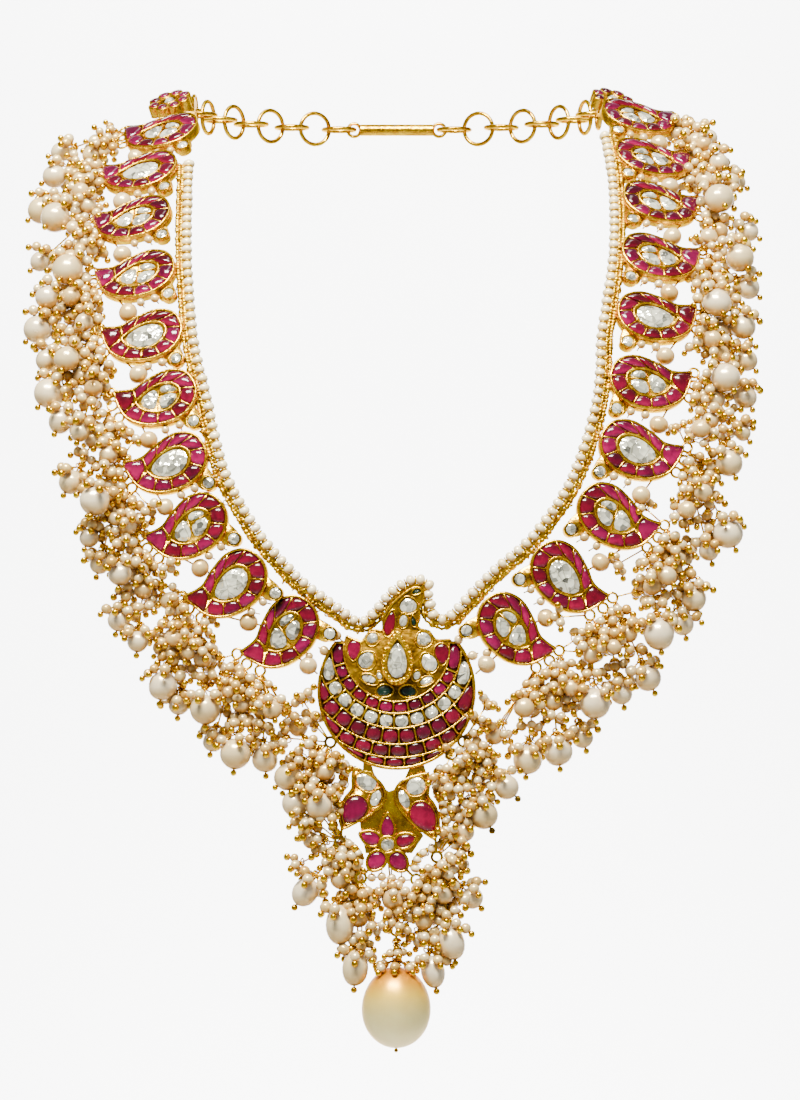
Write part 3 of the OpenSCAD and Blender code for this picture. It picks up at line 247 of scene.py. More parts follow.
# Single stones of the crescent: x, y, width, height, turn, how pointed the top is
CRESCENT_RUBIES = [
    [-11, 10.4, 4, 5.6, 175, 0.4], [11.7, 9.3, 4.4, 5.8, 183, 0.4], [-1.7, 17.4, 3.2, 7.2, -12, 0.5],
]
CRESCENT_POLKIS = [
    [-6.3, 13.3, 4, 3.5, 60, 0.3], [-7.6, 7.7, 5.2, 5.2, -40, 0.3], [7, 13.2, 4.7, 4.4, 20, 0.3],
    [8.3, 7.1, 5, 5.6, 30, 0.3], [-7, 2.8, 5, 2.5, -24, 0.2], [7.6, 2.3, 4.8, 2.3, 25, 0.2],
    [3, 22.1, 5.6, 4.6, 10, 0.3],
]
CRESCENT_EMERALDS = [
    [-3.1, -0.2, 4.9, 3.2, 8, 0.2], [3, -0.3, 4.9, 3.2, -8, 0.2], [5.2, 25.7, 2.8, 1.5, 20, 0.3],
    [4.4, 18, 1.5, 3, 10, 0.5],
]
# Small polkis between the larger ones, in the same columns
MORE_POLKIS = [
    [1.8, 18.1, 2.6, 4, -10, 0.2], [-4.4, 3.6, 1.8, 2.5, 20, 0.2], [5.2, 3.7, 2.4, 2.9, -20, 0.2],
]
PEAR = [0.2, 8.1]
PEAR_SIZE = [8.6, 13.4]
PEAR_STONE = [5.2, 9.2]
PEAR_RISE = 2.4

# Lower pendant: outlines of the two keris, clockwise from the upper tip: x, y
KERI_LEFT = [
    [-10.9, -19.4], [-7.4, -21.4], [-4.2, -23.3], [-2.5, -25.9], [-2.9, -28.9], [-5.2, -31.4],
    [-8.6, -33.4], [-12.1, -35.2], [-14.2, -36.3], [-14.9, -34], [-14.7, -30.7], [-13.5, -27.7],
    [-11.2, -25.4], [-11.5, -22],
]
KERI_RIGHT = [
    [8.5, -21], [8.6, -24.4], [7.9, -27.2], [9.9, -29.3], [11.1, -32.3], [11.1, -36.2], [10.1, -39.1],
    [9.2, -38.4], [6.3, -36.3], [2.6, -33], [-0.2, -29.3], [-0.8, -25.9], [0.6, -23.6], [3.8, -22.1],
]
FLOWER = [-2.3, -39.9]
FLOWER_STONE = 1.7
# Petals of the flower: x, y, width, height, turn, how pointed
PETALS = [
    [-2.3, -35, 4.6, 6.6, 0, 0.9], [2.5, -38.7, 4.6, 5.6, -72, 0.7], [-6.9, -38.1, 4.6, 5.6, 66, 0.7],
    [-5.2, -44, 4.8, 5.6, 142, 0.2], [0.5, -44.2, 4.8, 5.6, 218, 0.2],
]
# Stones of the keris, in the same columns and larger than in the part's source
KERI_RUBIES = [[-11, -31, 7.128, 8.208, 146, 0.5], [7.1, -32.9, 7.392, 8.892, 214, 0.5]]
KERI_POLKIS = [
    [-7.7, -23.6, 6.76, 4.805, -28, 0.2], [-5.3, -27.8, 3.38, 5.115, -20, 0.4],
    [5, -24.7, 6.11, 5.115, 20, 0.2], [1.9, -28, 3.12, 6.045, 22, 0.4],
]
# Strands of the pendant: ring x, y, seat on the metal x, y, pearl x, y, forward, width, height, middle pearl
PENDANT_STRANDS = [
    [-17.1, -13.4, -15.9, -12.5, -19.9, -30, 2.2, 7.3, 7.3, 1],
    [17.3, -13.2, 15.9, -12.4, 28.5, -25, 0, 6.6, 6.6, 0],
    [14.3, -16.5, 13.2, -15.3, 22.6, -32.3, 0, 7.2, 7.2, 0],
    [-14.6, -39.2, -14, -35, -14.6, -60.5, 1, 7.6, 10.6, 1],
    [-14.6, -39.2, -14, -35, -23.6, -52.1, -1, 6.8, 7.8, 0],
    [-9.2, -48.4, -6.9, -45.9, -10.6, -71.5, 1, 6.8, 9.6, 1],
    [5.1, -48.8, 2.2, -45.9, 9.4, -72.5, 1, 6.2, 8.4, 1],
    [10.4, -43, 10, -38, 14.2, -65, 1, 6.8, 9, 1],
    [10.4, -43, 10, -38, 19.6, -53.5, -3, 5.8, 5.8, 0],
]
STRAND_Z = 2.7
CENTRE_TOP = [-2.5, -41.5]
CENTRE_RING = [-0.1, -61.9]
CENTRE_PEARL = 0.66
# Way of the fine strings down the outer edges of the keris: x, y
KERI_STRINGS = {
    LEFT: [
        [-13.4, -19.1], [-13.7, -22.5], [-14.4, -25.3], [-16, -27.9], [-16.6, -31], [-16.7, -34],
        [-15.9, -37.4], [-12.5, -39.6], [-10.2, -42], [-9.8, -44.5],
    ],
    RIGHT: [
        [11.4, -20], [10.6, -22.4], [10.5, -25.2], [11.4, -27.8], [12.6, -30.3], [13, -33.5],
        [12.9, -36.5], [11.6, -40], [8, -41.3], [5.6, -43.2], [4.9, -46],
    ],
}
FINE_STRING_Z = 0.9

# Flower links at the top: x, y, z of the middle, and their backward tilt
FLOWER_LINKS = {LEFT: [-62.9, 3, 0.3], RIGHT: [59.3, 8, 1.4]}
FLOWER_TILT = 58.0
FLOWER_TURN = 28.0
FLOWER_R = 4.4
PETAL_R = 1.9
PETAL_COUNT = 8

# Radii of the rounded gold: rims and walls of a link, of the crescent, and of the keris and flowers
RIM_TUBE = 0.38
MIDDLE_TUBE = 0.31
WALL_TUBE = 0.24
GROOVE_TUBE = 0.16
DISC_TUBE = 0.48
CREST_TUBE = 0.36
ROW_TUBE = 0.26
ROW_WALL_TUBE = 0.28
KERI_TUBE = 0.4
PETAL_TUBE = 0.45
FLOWER_TUBE = 0.42
TOP_FLOWER_TUBE = 0.34
TOP_PETAL_TUBE = 0.32
# Strings: pitch and width of their pearls
INNER_PITCH, INNER_WIDTH = 2.7, 3.0
KERI_PITCH, KERI_WIDTH = 2.35, 2.6
# Number and size of the small pearls over a large pearl, a middle one and one of the scene's own
OVER_LARGE = (6, 2.9)
OVER_MIDDLE = (5, 2.8)
OVER_MORE = (5, 2.6)
# Starts of the random draws
SEEDS = {"links": 11, "strings": 23, "fringe": 5, "pendant": 31, "drop": 3}
SIDES = {LEFT: "left", RIGHT: "right"}
CARRIERS = {**SIDES, 0: "pendant"}
# Lights: name, place, aim, width and depth, power, colour
LIGHTS = [
    ["key", (-0.12, -0.5, 0.62), (0, -0.05, -0.12), (0.5, 0.18), 50, (1.0, 0.95, 0.83)],
    ["top", (0.1, -0.1, 0.85), (0, -0.05, -0.12), (0.6, 0.2), 4, (1.0, 0.97, 0.92)],
    ["wall", (0.0, 1.4, 0.95), (0, 2.5, 0.05), (1.2, 0.3), 120, (1, 1, 1)],
    ["wall_low", (0.0, 1.4, -0.85), (0, 2.5, -0.3), (1.2, 0.2), 90, (1, 1, 1)],
]


# Places in the necklace

def vec(*values):
    return np.array(values, float)


def unit(v):
    return v / np.linalg.norm(v)


def about_x(degrees):
    c, s = math.cos(math.radians(degrees)), math.sin(math.radians(degrees))
    return np.array([[1, 0, 0], [0, c, -s], [0, s, c]])


def about_z(degrees):
    c, s = math.cos(math.radians(degrees)), math.sin(math.radians(degrees))
    return np.array([[c, -s, 0], [s, c, 0], [0, 0, 1]])


def depth_at(z):
    """Depth of the necklace's back surface at height z."""
    if z > -DROP_BEND:
        return -FRONT_REACH * (1 - (1 + z / DROP_BEND) ** CHEST_POWER)
    return -FRONT_REACH + math.tan(math.radians(LEAN)) * (z + DROP_BEND)


def tilt_at(z):
    """Backward tilt of a face at height z."""
    slope = FRONT_REACH * CHEST_POWER / DROP_BEND * max(0, 1 + z / DROP_BEND) ** (CHEST_POWER - 1)
    return max(LEAN, math.degrees(math.atan(slope)))


def yaw_at(z):
    """Outward turn of a face at height z."""
    return TURN_LOW + TURN_MORE * max(0, 1 + z / DROP_BEND) ** 2


class Plane:
    """A flat sub-part's own plane: points in it are turned into points of the necklace."""

    def __init__(self, origin, turn):
        self.origin = vec(*origin)
        self.turn = turn

    def __call__(self, points):
        return np.asarray(points, float) @ self.turn.T + self.origin

    def flat(self, xy, z):
        """A flat list of x, y at height z, as points of the necklace."""
        xy = np.asarray(xy, float)
        return self(np.column_stack([xy, np.full(len(xy), z)]))


def link_plane(side, link):
    x, z, turn = link[:3]
    turned = about_z(side * yaw_at(z)) @ about_x(90 - tilt_at(z)) @ about_z(-side * turn)
    return Plane((x, depth_at(z), z), turned @ np.diag([-side, 1, 1]))


PENDANT = Plane((PENDANT_X, depth_at(PENDANT_Z), PENDANT_Z), about_x(90 - LEAN))


def spoke(angle):
    return vec(math.cos(angle), math.sin(angle))


def flower_plane(side):
    return Plane(FLOWER_LINKS[side], about_z(side * FLOWER_TURN) @ about_x(90 - FLOWER_TILT))


def facing_link(side, link, x, z, lift):
    """The point of a link's plane, raised by lift, that is seen at x and z from the front."""
    plane = link_plane(side, link)
    centre = plane(vec(0, 0, 0))
    normal = plane(vec(0, 0, 1)) - centre
    y = centre[1] + (lift - normal[0] * (x - centre[0]) - normal[2] * (z - centre[2])) / normal[1]
    return vec(x, y, z)


def strand_pearl(side, f):
    return facing_link(side, LINKS[side][f[0]], f[2], f[3], f[4] + HALF_T)


def leave_ring(ring, target, normal):
    """Where a wire to a target leaves its ring."""
    away = target - ring
    return ring + RING_R * unit(away - normal * (normal @ away))


def strand_top(side, f):
    plane = link_plane(side, LINKS[side][f[0]])
    x, y = RINGS[f[1]][:2]
    return leave_ring(plane(vec(x, y, HALF_T)), strand_pearl(side, f), plane.turn[:, 2])


def pin_ends(side, k):
    """Both ends of the wire between link k and the next, or the crescent below the last."""
    links = LINKS[side]
    plane = link_plane(side, links[k])
    if k < len(links) - 1:
        return plane(vec(*LINK_PIN, HALF_T)), link_plane(side, links[k + 1])(vec(*LINK_SEAT, HALF_T))
    reach, turn, z = CRESCENT_SEAT
    x, y = reach * spoke(math.radians(turn))
    return plane(vec(*LAST_PIN, HALF_T)), PENDANT(vec(side * x, y, z))


# Flat outlines

def curve_at(points, u):
    """Smooth open curve through a list of points."""
    points = np.asarray(points, float)
    last = len(points) - 1
    i = min(int(math.floor(u)), last - 1)
    t = u - i
    a, b, c, d = points[max(i - 1, 0)], points[i], points[i + 1], points[min(i + 2, last)]
    return 0.5 * (
        2 * b + (c - a) * t + (2 * a - 5 * b + 4 * c - d) * t * t + (3 * b - a - 3 * c + d) * t ** 3
    )


def shifted_at(points, u, inward):
    """The same curve moved sideways, to the inside of a clockwise outline."""
    last = len(points) - 1
    along = curve_at(points, min(u + 0.05, last)) - curve_at(points, max(u - 0.05, 0))
    return curve_at(points, u) + inward * vec(along[1], -along[0]) / np.linalg.norm(along)


def outline(points, inward, count):
    last = len(points) - 1
    return np.array([shifted_at(points, last * i / count, inward) for i in range(count + 1)])


def along_way(points, pitch):
    """Points at an even pitch along a smooth curve through the given ones."""
    steps = 40 * (len(points) - 1)
    fine = np.array([curve_at(points, (len(points) - 1) * i / steps) for i in range(steps + 1)])
    length = np.concatenate([[0], np.cumsum(np.linalg.norm(np.diff(fine, axis=0), axis=1))])
    count = max(2, int(round(length[-1] / pitch)))
    at = np.linspace(0, length[-1], count + 1)
    return np.column_stack([np.interp(at, length, fine[:, k]) for k in range(fine.shape[1])])


def ruby_cell(i, g):
    """Outline of ruby cell i of a mango link, g smaller all round."""
    half = WALL_W / 2 + 2 * g
    here, there = WALLS[i], WALLS[(i + 1) % len(WALLS)]
    start, stop = here[0] + half / EDGE_STEP, there[0] - half / EDGE_STEP

    def side_of(points, a, b, inward):
        return [shifted_at(points, u, inward) for u in np.linspace(a, b, 6)]

    if i < len(WALLS) - 1:
        outside = side_of(MANGO_EDGE, start, stop, RIM_W + g)
        return np.array(outside + side_of(
            MIDDLE_EDGE, there[1] - half / MIDDLE_STEP, here[1] + half / MIDDLE_STEP, -RIM_W - g))
    before = side_of(MANGO_EDGE, start, len(MANGO_EDGE) - 1 - g, RIM_W + g)
    after = side_of(MANGO_EDGE, TIP_START + g, stop, RIM_W + g)
    return np.array(before + after + [vec(TIP_CORNER[0] - g, TIP_CORNER[1])])


def drop_edge(width, height, point, count=28):
    """Outline of a drop shaped stone round its middle, with its point upwards."""
    a = 2 * math.pi * (np.arange(count) + 0.5) / count
    x = width / 2 * np.sin(a) * np.abs(np.sin(a / 2)) ** point
    return np.column_stack([x, height / 2 * np.cos(a)])


def stone_edge(s, g):
    """Outline of a single stone from its row in a table, g smaller all round."""
    turned = drop_edge(s[2] - 2 * g, s[3] - 2 * g, s[5]) @ about_z(s[4])[:2, :2].T
    return turned + vec(s[0], s[1])


def keep_side(edge, point, normal):
    """The part of a flat outline on the side of a line that the normal points to."""
    kept = []
    away = (edge - point) @ normal
    for i in range(len(edge)):
        j = (i + 1) % len(edge)
        if away[i] >= 0:
            kept.append(edge[i])
        if (away[i] >= 0) != (away[j] >= 0):
            share = away[i] / (away[i] - away[j])
            kept.append(edge[i] + (edge[j] - edge[i]) * share)
    return np.array(kept)


def keep_in_circle(edge, radius):
    """The part of a flat outline within a circle round the origin."""
    for k in range(CIRCLE_SIDES):
        out = spoke(2 * math.pi * k / CIRCLE_SIDES)
        edge = keep_side(edge, out * radius, -out)
        if len(edge) < 3:
            return edge
    return edge


def smoothed(edge, passes, share=0.25):
    """The closed outline with each point drawn towards its neighbours, pass by pass."""
    for _ in range(passes):
        edge = (1 - 2 * share) * edge + share * (np.roll(edge, 1, 0) + np.roll(edge, -1, 0))
    return edge


def even_edge(edge, count):
    """A closed outline with evenly spaced points, its corners a little rounded."""
    closed = np.vstack([edge, edge[:1]])
    length = np.concatenate([[0], np.cumsum(np.linalg.norm(np.diff(closed, axis=0), axis=1))])
    finer, passes = (4, 28) if count < 40 else (1, 3)
    at = np.linspace(0, length[-1], count * finer, endpoint=False)
    even = np.column_stack([np.interp(at, length, closed[:, k]) for k in range(2)])
    return smoothed(even, passes)[::finer]


def area(edge):
    x, y = edge[:, 0], edge[:, 1]
    return 0.5 * float(np.sum(x * np.roll(y, -1) - y * np.roll(x, -1)))


def rounder(edge, passes):
    """The outline with its corners worn round, at nearly the same reach."""
    edge = even_edge(edge, 40)
    reach = abs(area(edge))
    edge = smoothed(edge, passes)
    middle = edge.mean(0)
    return middle + (edge - middle) * math.sqrt(reach / abs(area(edge))) * 0.97


def scaled(edge, share):
    """The outline made smaller or larger round its middle."""
    middle = edge.mean(0)
    return middle + (edge - middle) * share


def circle(radius, count, middle=(0, 0)):
    a = 2 * math.pi * np.arange(count) / count
    return np.column_stack([radius * np.cos(a), radius * np.sin(a)]) + vec(*middle)


def inside(edge, p):
    """True if a point lies in a flat outline."""
    found = False
    for i in range(len(edge)):
        a, b = edge[i], edge[i - 1]
        if (a[1] > p[1]) != (b[1] > p[1]):
            if p[0] < (b[0] - a[0]) * (p[1] - a[1]) / (b[1] - a[1]) + a[0]:
                found = not found
    return found


# Meshes gathered from arrays

class Batch:
    """Many small shapes as the arrays of one mesh."""

    def __init__(self):
        self.points = []
        self.faces = []
        self.flat = []
        self.count = 0

    def add(self, points, faces, flat=False):
        points = np.asarray(points, float)
        self.points.append(points)
        for f in faces:
            self.faces.append([self.count + i for i in f])
            self.flat.append(flat)
        self.count += len(points)

    def make(self, name, material, slot, body="necklace"):
        mesh = bpy.data.meshes.new(name)
        points = np.vstack(self.points) * MM
        mesh.from_pydata(points.tolist(), [], self.faces)
        mesh.polygons.foreach_set("use_smooth", [not f for f in self.flat])
        mesh.materials.append(material)
        mesh.update()
        obj = bpy.data.objects.new(name, mesh)
        bpy.context.scene.collection.objects.link(obj)
        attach(obj, body)
        return obj


def ball_shape(around, rows):
    """Points and faces of a unit ball along Z."""
    points = [vec(0, 0, 1)]
    for r in range(1, rows):
        a = math.pi * r / rows
        for k in range(around):
            b = 2 * math.pi * (k + 0.5 * (r % 2)) / around
            points.append(vec(math.sin(a) * math.cos(b), math.sin(a) * math.sin(b), math.cos(a)))
    points.append(vec(0, 0, -1))
    faces = [[0, 1 + k, 1 + (k + 1) % around] for k in range(around)]
    for r in range(rows - 2):
        top = 1 + r * around
        low = top + around
        for k in range(around):
            n = (k + 1) % around
            if r % 2:
                faces += [[top + k, low + k, low + n], [top + k, low + n, top + n]]
            else:
                faces += [[top + k, low + k, top + n], [top + n, low + k, low + n]]
    last = len(points) - 1
    base = last - around
    faces += [[last, base + (k + 1) % around, base + k] for k in range(around)]
    return np.array(points), faces


PEARL_BALL = ball_shape(20, 12)
SEED_BALL = ball_shape(12, 7)
DROP_BALL = ball_shape(8, 6)


def frame_along(direction):
    """Three axes, the last one along a direction."""
    w = unit(direction)
    side = vec(0, 1, 0) if abs(w[1]) < 0.9 else vec(1, 0, 0)
    u = unit(np.cross(side, w))
    return np.column_stack([u, np.cross(w, u), w])


def add_ball(batch, shape, middle, size, along=None, wobble=0.0, rng=None):
    """A ball, or an uneven one such as a pearl, with its axis along a direction."""
    points, faces = shape
    if wobble:
        lean = np.array([rng.gauss(0, 1) for _ in range(9)]).reshape(3, 3)
        bend = np.array([rng.gauss(0, 1) for _ in range(3)])
        swell = 1 + wobble * (0.5 * np.einsum("ni,ij,nj->n", points, lean, points)
                              + 0.5 * np.sin(2.2 * points @ bend))
        points = points * swell[:, None]
    points = points * np.broadcast_to(np.asarray(size, float) / 2, 3)
    if along is not None:
        points = points @ frame_along(along).T
    batch.add(points + middle, faces)


def round_way(turn, u, v):
    """A circle of radius one in the plane of two axes, at each turn."""
    return np.outer(np.cos(turn), u) + np.outer(np.sin(turn), v)


def add_tube(batch, way, radius, sides=6, closed=False):
    """A round wire along points."""
    way = np.asarray(way, float)
    n = len(way)
    along = np.roll(way, -1, 0) - np.roll(way, 1, 0) if closed else np.gradient(way, axis=0)
    along /= np.maximum(np.linalg.norm(along, axis=1), 1e-9)[:, None]
    u = frame_along(along[0])[:, 0]
    rings = []
    turn = np.arange(sides) * 2 * math.pi / sides
    for i in range(n):
        u = u - along[i] * (along[i] @ u)
        u = u / max(np.linalg.norm(u), 1e-9)
        rings.append(way[i] + radius * round_way(turn, u, np.cross(along[i], u)))
    faces = []
    for i in range(n if closed else n - 1):
        j = (i + 1) % n
        shift = 0
        if j == 0:
            shift = int(np.argmin([np.linalg.norm(rings[0][s] - rings[i][0]) for s in range(sides)]))
        for k in range(sides):
            m = (k + 1) % sides
            faces.append([i * sides + k, i * sides + m, j * sides + (m + shift) % sides,
                          j * sides + (k + shift) % sides])
    if not closed:
        faces.append(list(range(sides - 1, -1, -1)))
        faces.append([(n - 1) * sides + k for k in range(sides)])
    batch.add(np.vstack(rings), faces)


def add_ring(batch, middle, normal, radius, wire, around, sides):
    axes = frame_along(normal)
    turn = np.arange(around) * 2 * math.pi / around
    add_tube(batch, middle + radius * round_way(turn, axes[:, 0], axes[:, 1]), wire, sides, closed=True)


def add_coil(batch, a, b):
    """Wire wound round the line from a to b."""
    axes = frame_along(b - a)
    t = np.linspace(0, 1, 8 * COIL_TURNS + 1)
    turn = 2 * math.pi * COIL_TURNS * t
    way = a + np.outer(t, b - a) + COIL_R * round_way(turn, axes[:, 0], axes[:, 1])
    add_tube(batch, way, COIL_WIRE, 5)


def ring_faces(rows, count):
    """Faces between rows of points of the same count."""
    return [
        [r * count + k, r * count + (k + 1) % count, (r + 1) * count + (k + 1) % count, (r + 1) * count + k]
        for r in range(rows - 1) for k in range(count)
    ]


def facing_out(faces, edge, plane):
    """A shape's faces, turned round where its outline or its plane is mirrored, but not both."""
    if (area(edge) < 0) != (np.linalg.det(plane.turn) < 0):
        return [f[::-1] for f in faces]
    return faces


def add_skirt(batch, plane, rings):
    """A solid through flat outlines of the same count, low to high: outline and height each."""
    n = len(rings[0][0])
    faces = ring_faces(len(rings), n)
    faces.append(list(range(n - 1, -1, -1)))
    faces.append([(len(rings) - 1) * n + k for k in range(n)])
    batch.add(np.vstack([plane.flat(e, z) for e, z in rings]), facing_out(faces, rings[0][0], plane))


def add_cushion(batch, plane, edge, height_at, rise, count=26, rings=6):
    """A puffy cabochon on a flat outline, with its rim at the height that height_at gives."""
    edge = even_edge(edge, count)
    middle = edge.mean(0)
    reach = np.linalg.norm(edge - middle, axis=1).mean()
    levels = [(1.0, -CUSHION_SINK)]
    for r in range(rings):
        a = math.pi / 2 * r / rings
        levels.append((math.cos(a), rise * math.sin(a) ** 0.85 - 0.05))
    points = []
    round_edge = edge
    for r, (share, lift) in enumerate(levels):
        round_edge = smoothed(round_edge, 3 if r > 1 else 0, 0.3)
        size = share * reach / np.linalg.norm(round_edge - middle, axis=1).mean()
        xy = middle + (round_edge - middle) * size
        points.append(np.column_stack([xy, [height_at(x, y) + lift for x, y in xy]]))
    top = len(levels) * count
    points.append(np.array([[*middle, height_at(*middle) + rise - 0.05]]))
    faces = ring_faces(len(levels), count)
    faces += [[top - count + k, top - count + (k + 1) % count, top] for k in range(count)]
    faces.append(list(range(count - 1, -1, -1)))
    batch.add(plane(np.vstack(points)), facing_out(faces, edge, plane))


def add_cut(batch, plane, edge, girdle, table, rng, count):
    """A flat rose cut stone: an uneven crown round a table of a few tilted facets."""
    edge = even_edge(edge, count)
    middle = edge.mean(0) + vec(rng.uniform(-0.15, 0.15), rng.uniform(-0.15, 0.15))
    inner = np.array([middle + (edge[k] - middle) * rng.uniform(0.55, 0.74) for k in range(count)])
    core = middle + (edge[::2] - middle) * 0.24
    half = len(core)
    points = np.vstack([
        np.column_stack([middle + (edge - middle) * 0.96, np.full(count, girdle - CUT_SINK)]),
        np.column_stack([edge, np.full(count, girdle)]),
        np.column_stack([inner, [table - rng.uniform(0, 0.1) for _ in range(count)]]),
        np.column_stack([core, [table + rng.uniform(-0.02, 0.12) for _ in range(half)]]),
    ])
    faces = []
    for a in (0, count):
        b = a + count
        for k in range(count):
            m = (k + 1) % count
            faces += [[a + k, a + m, b + m], [a + k, b + m, b + k]]
    a, b = 2 * count, 3 * count
    for k in range(half):
        m = (k + 1) % half
        faces += [[a + 2 * k, a + 2 * k + 1, b + k], [a + 2 * k + 1, b + m, b + k],
                  [a + 2 * k + 1, a + (2 * k + 2) % count, b + m]]
    faces.append([b + k for k in range(half)])
    faces.append(list(range(count - 1, -1, -1)))
    batch.add(plane(points), facing_out(faces, edge, plane), flat=True)


# Materials

# Sockets of the Mix node for colours
MIX_SHARE, MIX_A, MIX_B, MIX_RESULT = 0, 6, 7, 2


def fill(node, values):
    """Sets the plain values of a node's sockets."""
    for socket, value in values.items():
        node.inputs[socket].default_value = value


class Look:
    """A material: the plain values of its shader, and the nodes that feed it."""

    def __init__(self, name, values):
        self.material = bpy.data.materials.new(name)
        self.material.use_nodes = True
        self.nodes = self.material.node_tree.nodes
        self.link = self.material.node_tree.links.new
        self.shader = self.nodes["Principled BSDF"]
        fill(self.shader, values)
        self.place = self.nodes.new("ShaderNodeTexCoord").outputs

    def node(self, kind, socket, source, values=None):
        """A new node with plain values, and with a source at one of its sockets."""
        node = self.nodes.new("ShaderNode" + kind)
        fill(node, values or {})
        self.link(source, node.inputs[socket])
        return node

    def each(self):
        """A number that differs from stone to stone and from pearl to pearl."""
        return self.nodes.new("ShaderNodeNewGeometry").outputs["Random Per Island"]

    def noise(self, scale, detail, roughness):
        values = {"Scale": scale, "Detail": detail, "Roughness": roughness}
        return self.node("TexNoise", "Vector", self.place["Object"], values).outputs["Fac"]

    def ramp(self, source, stops):
        """The colour at each stop, blended over the source's 0 to 1."""
        node = self.node("ValToRGB", "Fac", source)
        elements = node.color_ramp.elements
        while len(elements) < len(stops):
            elements.new(0.5)
        for element, (at, colour) in zip(elements, stops):
            element.position = at
            element.color = (*colour, 1)
        return node.outputs["Color"]

    def upward(self, kind):
        """The Z of a place on the piece, or of the direction that it faces."""
        return self.node("SeparateXYZ", "Vector", self.place[kind]).outputs["Z"]

    def painted_light_by_slope(self, stops):
        """A painted tone of light and shade, from parts that face down, at 0, to parts that face up, at 1."""
        share = self.node("MapRange", "Value", self.upward("Normal"), {"From Min": -1})
        return self.ramp(share.outputs["Result"], stops)

    def colour(self, first, *tones):
        """The shader's colour, which is the first tone multiplied by the others."""
        for tone in tones:
            node = self.nodes.new("ShaderNodeMix")
            node.data_type = "RGBA"
            node.blend_type = "MULTIPLY"
            node.inputs[MIX_SHARE].default_value = 1.0
            self.link(first, node.inputs[MIX_A])
            self.link(tone, node.inputs[MIX_B])
            first = node.outputs[MIX_RESULT]
        self.link(first, self.shader.inputs["Base Color"])

    def rough(self, source, low, high):
        """The shader's roughness, between low and high as the source goes from 0 to 1."""
        node = self.node("MapRange", "Value", source, {"To Min": low, "To Max": high})
        self.link(node.outputs["Result"], self.shader.inputs["Roughness"])

    def bump(self, source, strength, distance):
        """Small bumps in the surface. As the last step of a look it gives the material back."""
        node = self.node("Bump", "Height", source, {"Strength": strength, "Distance": distance})
        self.link(node.outputs["Normal"], self.shader.inputs["Normal"])
        return self.material


def gold_material(name, dark, mid, light, rough, hammer):
    """High carat gold: soft hand burnishing, its tone darker and lighter at random."""
    look = Look(name, {"Metallic": 1.0, "Specular Tint": (0.95, 0.7, 0.25, 1)})
    look.colour(look.ramp(look.noise(320, 3, 0.6), [(0.3, dark), (0.5, mid), (0.72, light)]))
    look.rough(look.noise(1500, 4, 0.6), rough - 0.1, rough + 0.16)
    return look.bump(look.noise(900, 2, 0.4), hammer, 0.0006)


def pearl_material(name, stops, rough, lustre, metal):
    """Nacre: body colour that differs from pearl to pearl, painted shade and a painted warm reflection of the
    gold on the lower side, a warmer edge and a soft coat.
    """
    look = Look(name, {
        "Metallic": metal, "Specular Tint": (0.5, 0.28, 0.1, 1), "Specular IOR Level": 0.6,
        "Coat Tint": (0.93, 0.84, 0.66, 1), "Coat Weight": lustre, "Coat Roughness": 0.1,
    })
    cloud = look.noise(260, 3, 0.5)
    # Painted shade and a painted warm gold reflection on the parts that face down, white on the parts that
    # face up.
    painted_shade_and_reflection_below = look.painted_light_by_slope([(0.05, (0.5, 0.31, 0.1)), (0.25, (0.74, 0.58, 0.33)), (0.52, (0.98, 0.96, 0.93))])
    look.colour(look.ramp(look.each(), stops), painted_shade_and_reflection_below,
                look.ramp(cloud, [(0.35, (0.92, 0.88, 0.86)), (0.6, (1, 1, 1))]))
    look.rough(cloud, rough - 0.05, rough + 0.12)
    return look.bump(look.noise(700, 3, 0.5), 0.12, 0.0003)


def golden_pearl_material():
    """South sea nacre: deeper gold towards its top, paler below, satin all over."""
    look = Look("golden_pearl", {
        "Metallic": 0.55, "Specular Tint": (0.7, 0.4, 0.12, 1), "Coat Tint": (0.96, 0.86, 0.64, 1),
        "Coat Weight": 0.3, "Coat Roughness": 0.25,
    })
    cloud = look.noise(180, 4, 0.55)
    body = look.ramp(look.upward("Generated"), [
        (0.05, (0.85, 0.81, 0.5)), (0.42, (0.85, 0.77, 0.34)), (0.68, (0.82, 0.57, 0.07)),
        (0.82, (0.64, 0.31, 0.004)), (0.95, (0.44, 0.16, 0.001)),
    ])
    look.colour(body, look.ramp(cloud, [(0.35, (0.94, 0.9, 0.86)), (0.65, (1, 1, 1))]))
    look.rough(cloud, 0.3, 0.42)
    return look.bump(look.noise(1400, 3, 0.6), 0.1, 0.0002)


def gem_material(name, stops, rough, depth):
    """Foil backed coloured stone: colour from stone to stone, painted shade on top and a painted glow below,
    with clouds inside.
    """
    look = Look(name, {
        "IOR": 1.6, "Specular IOR Level": 0.22, "Coat Weight": depth, "Coat Roughness": 0.04,
    })
    cloud = look.noise(520, 4, 0.6)
    # Painted glow on the lower part of each stone and painted shade on its upper part.
    painted_glow_and_shade = look.painted_light_by_slope([
        (0.0, (0.5, 0.45, 0.5)), (0.26, (0.95, 0.95, 0.95)), (0.5, (0.7, 0.7, 0.66)),
        (0.68, (0.28, 0.25, 0.27)), (1.0, (0.13, 0.12, 0.16)),
    ])
    clouds = [(0.3, (0.55, 0.5, 0.55)), (0.55, (1, 1, 1)), (0.75, (1.0, 0.9, 1.0))]
    look.colour(look.ramp(look.each(), stops), painted_glow_and_shade, look.ramp(cloud, clouds))
    look.rough(cloud, rough - 0.04, rough + 0.1)
    return look.bump(look.noise(1100, 2, 0.5), 0.1, 0.0003)


def darker(colour, share):
    return tuple(share * c for c in colour)


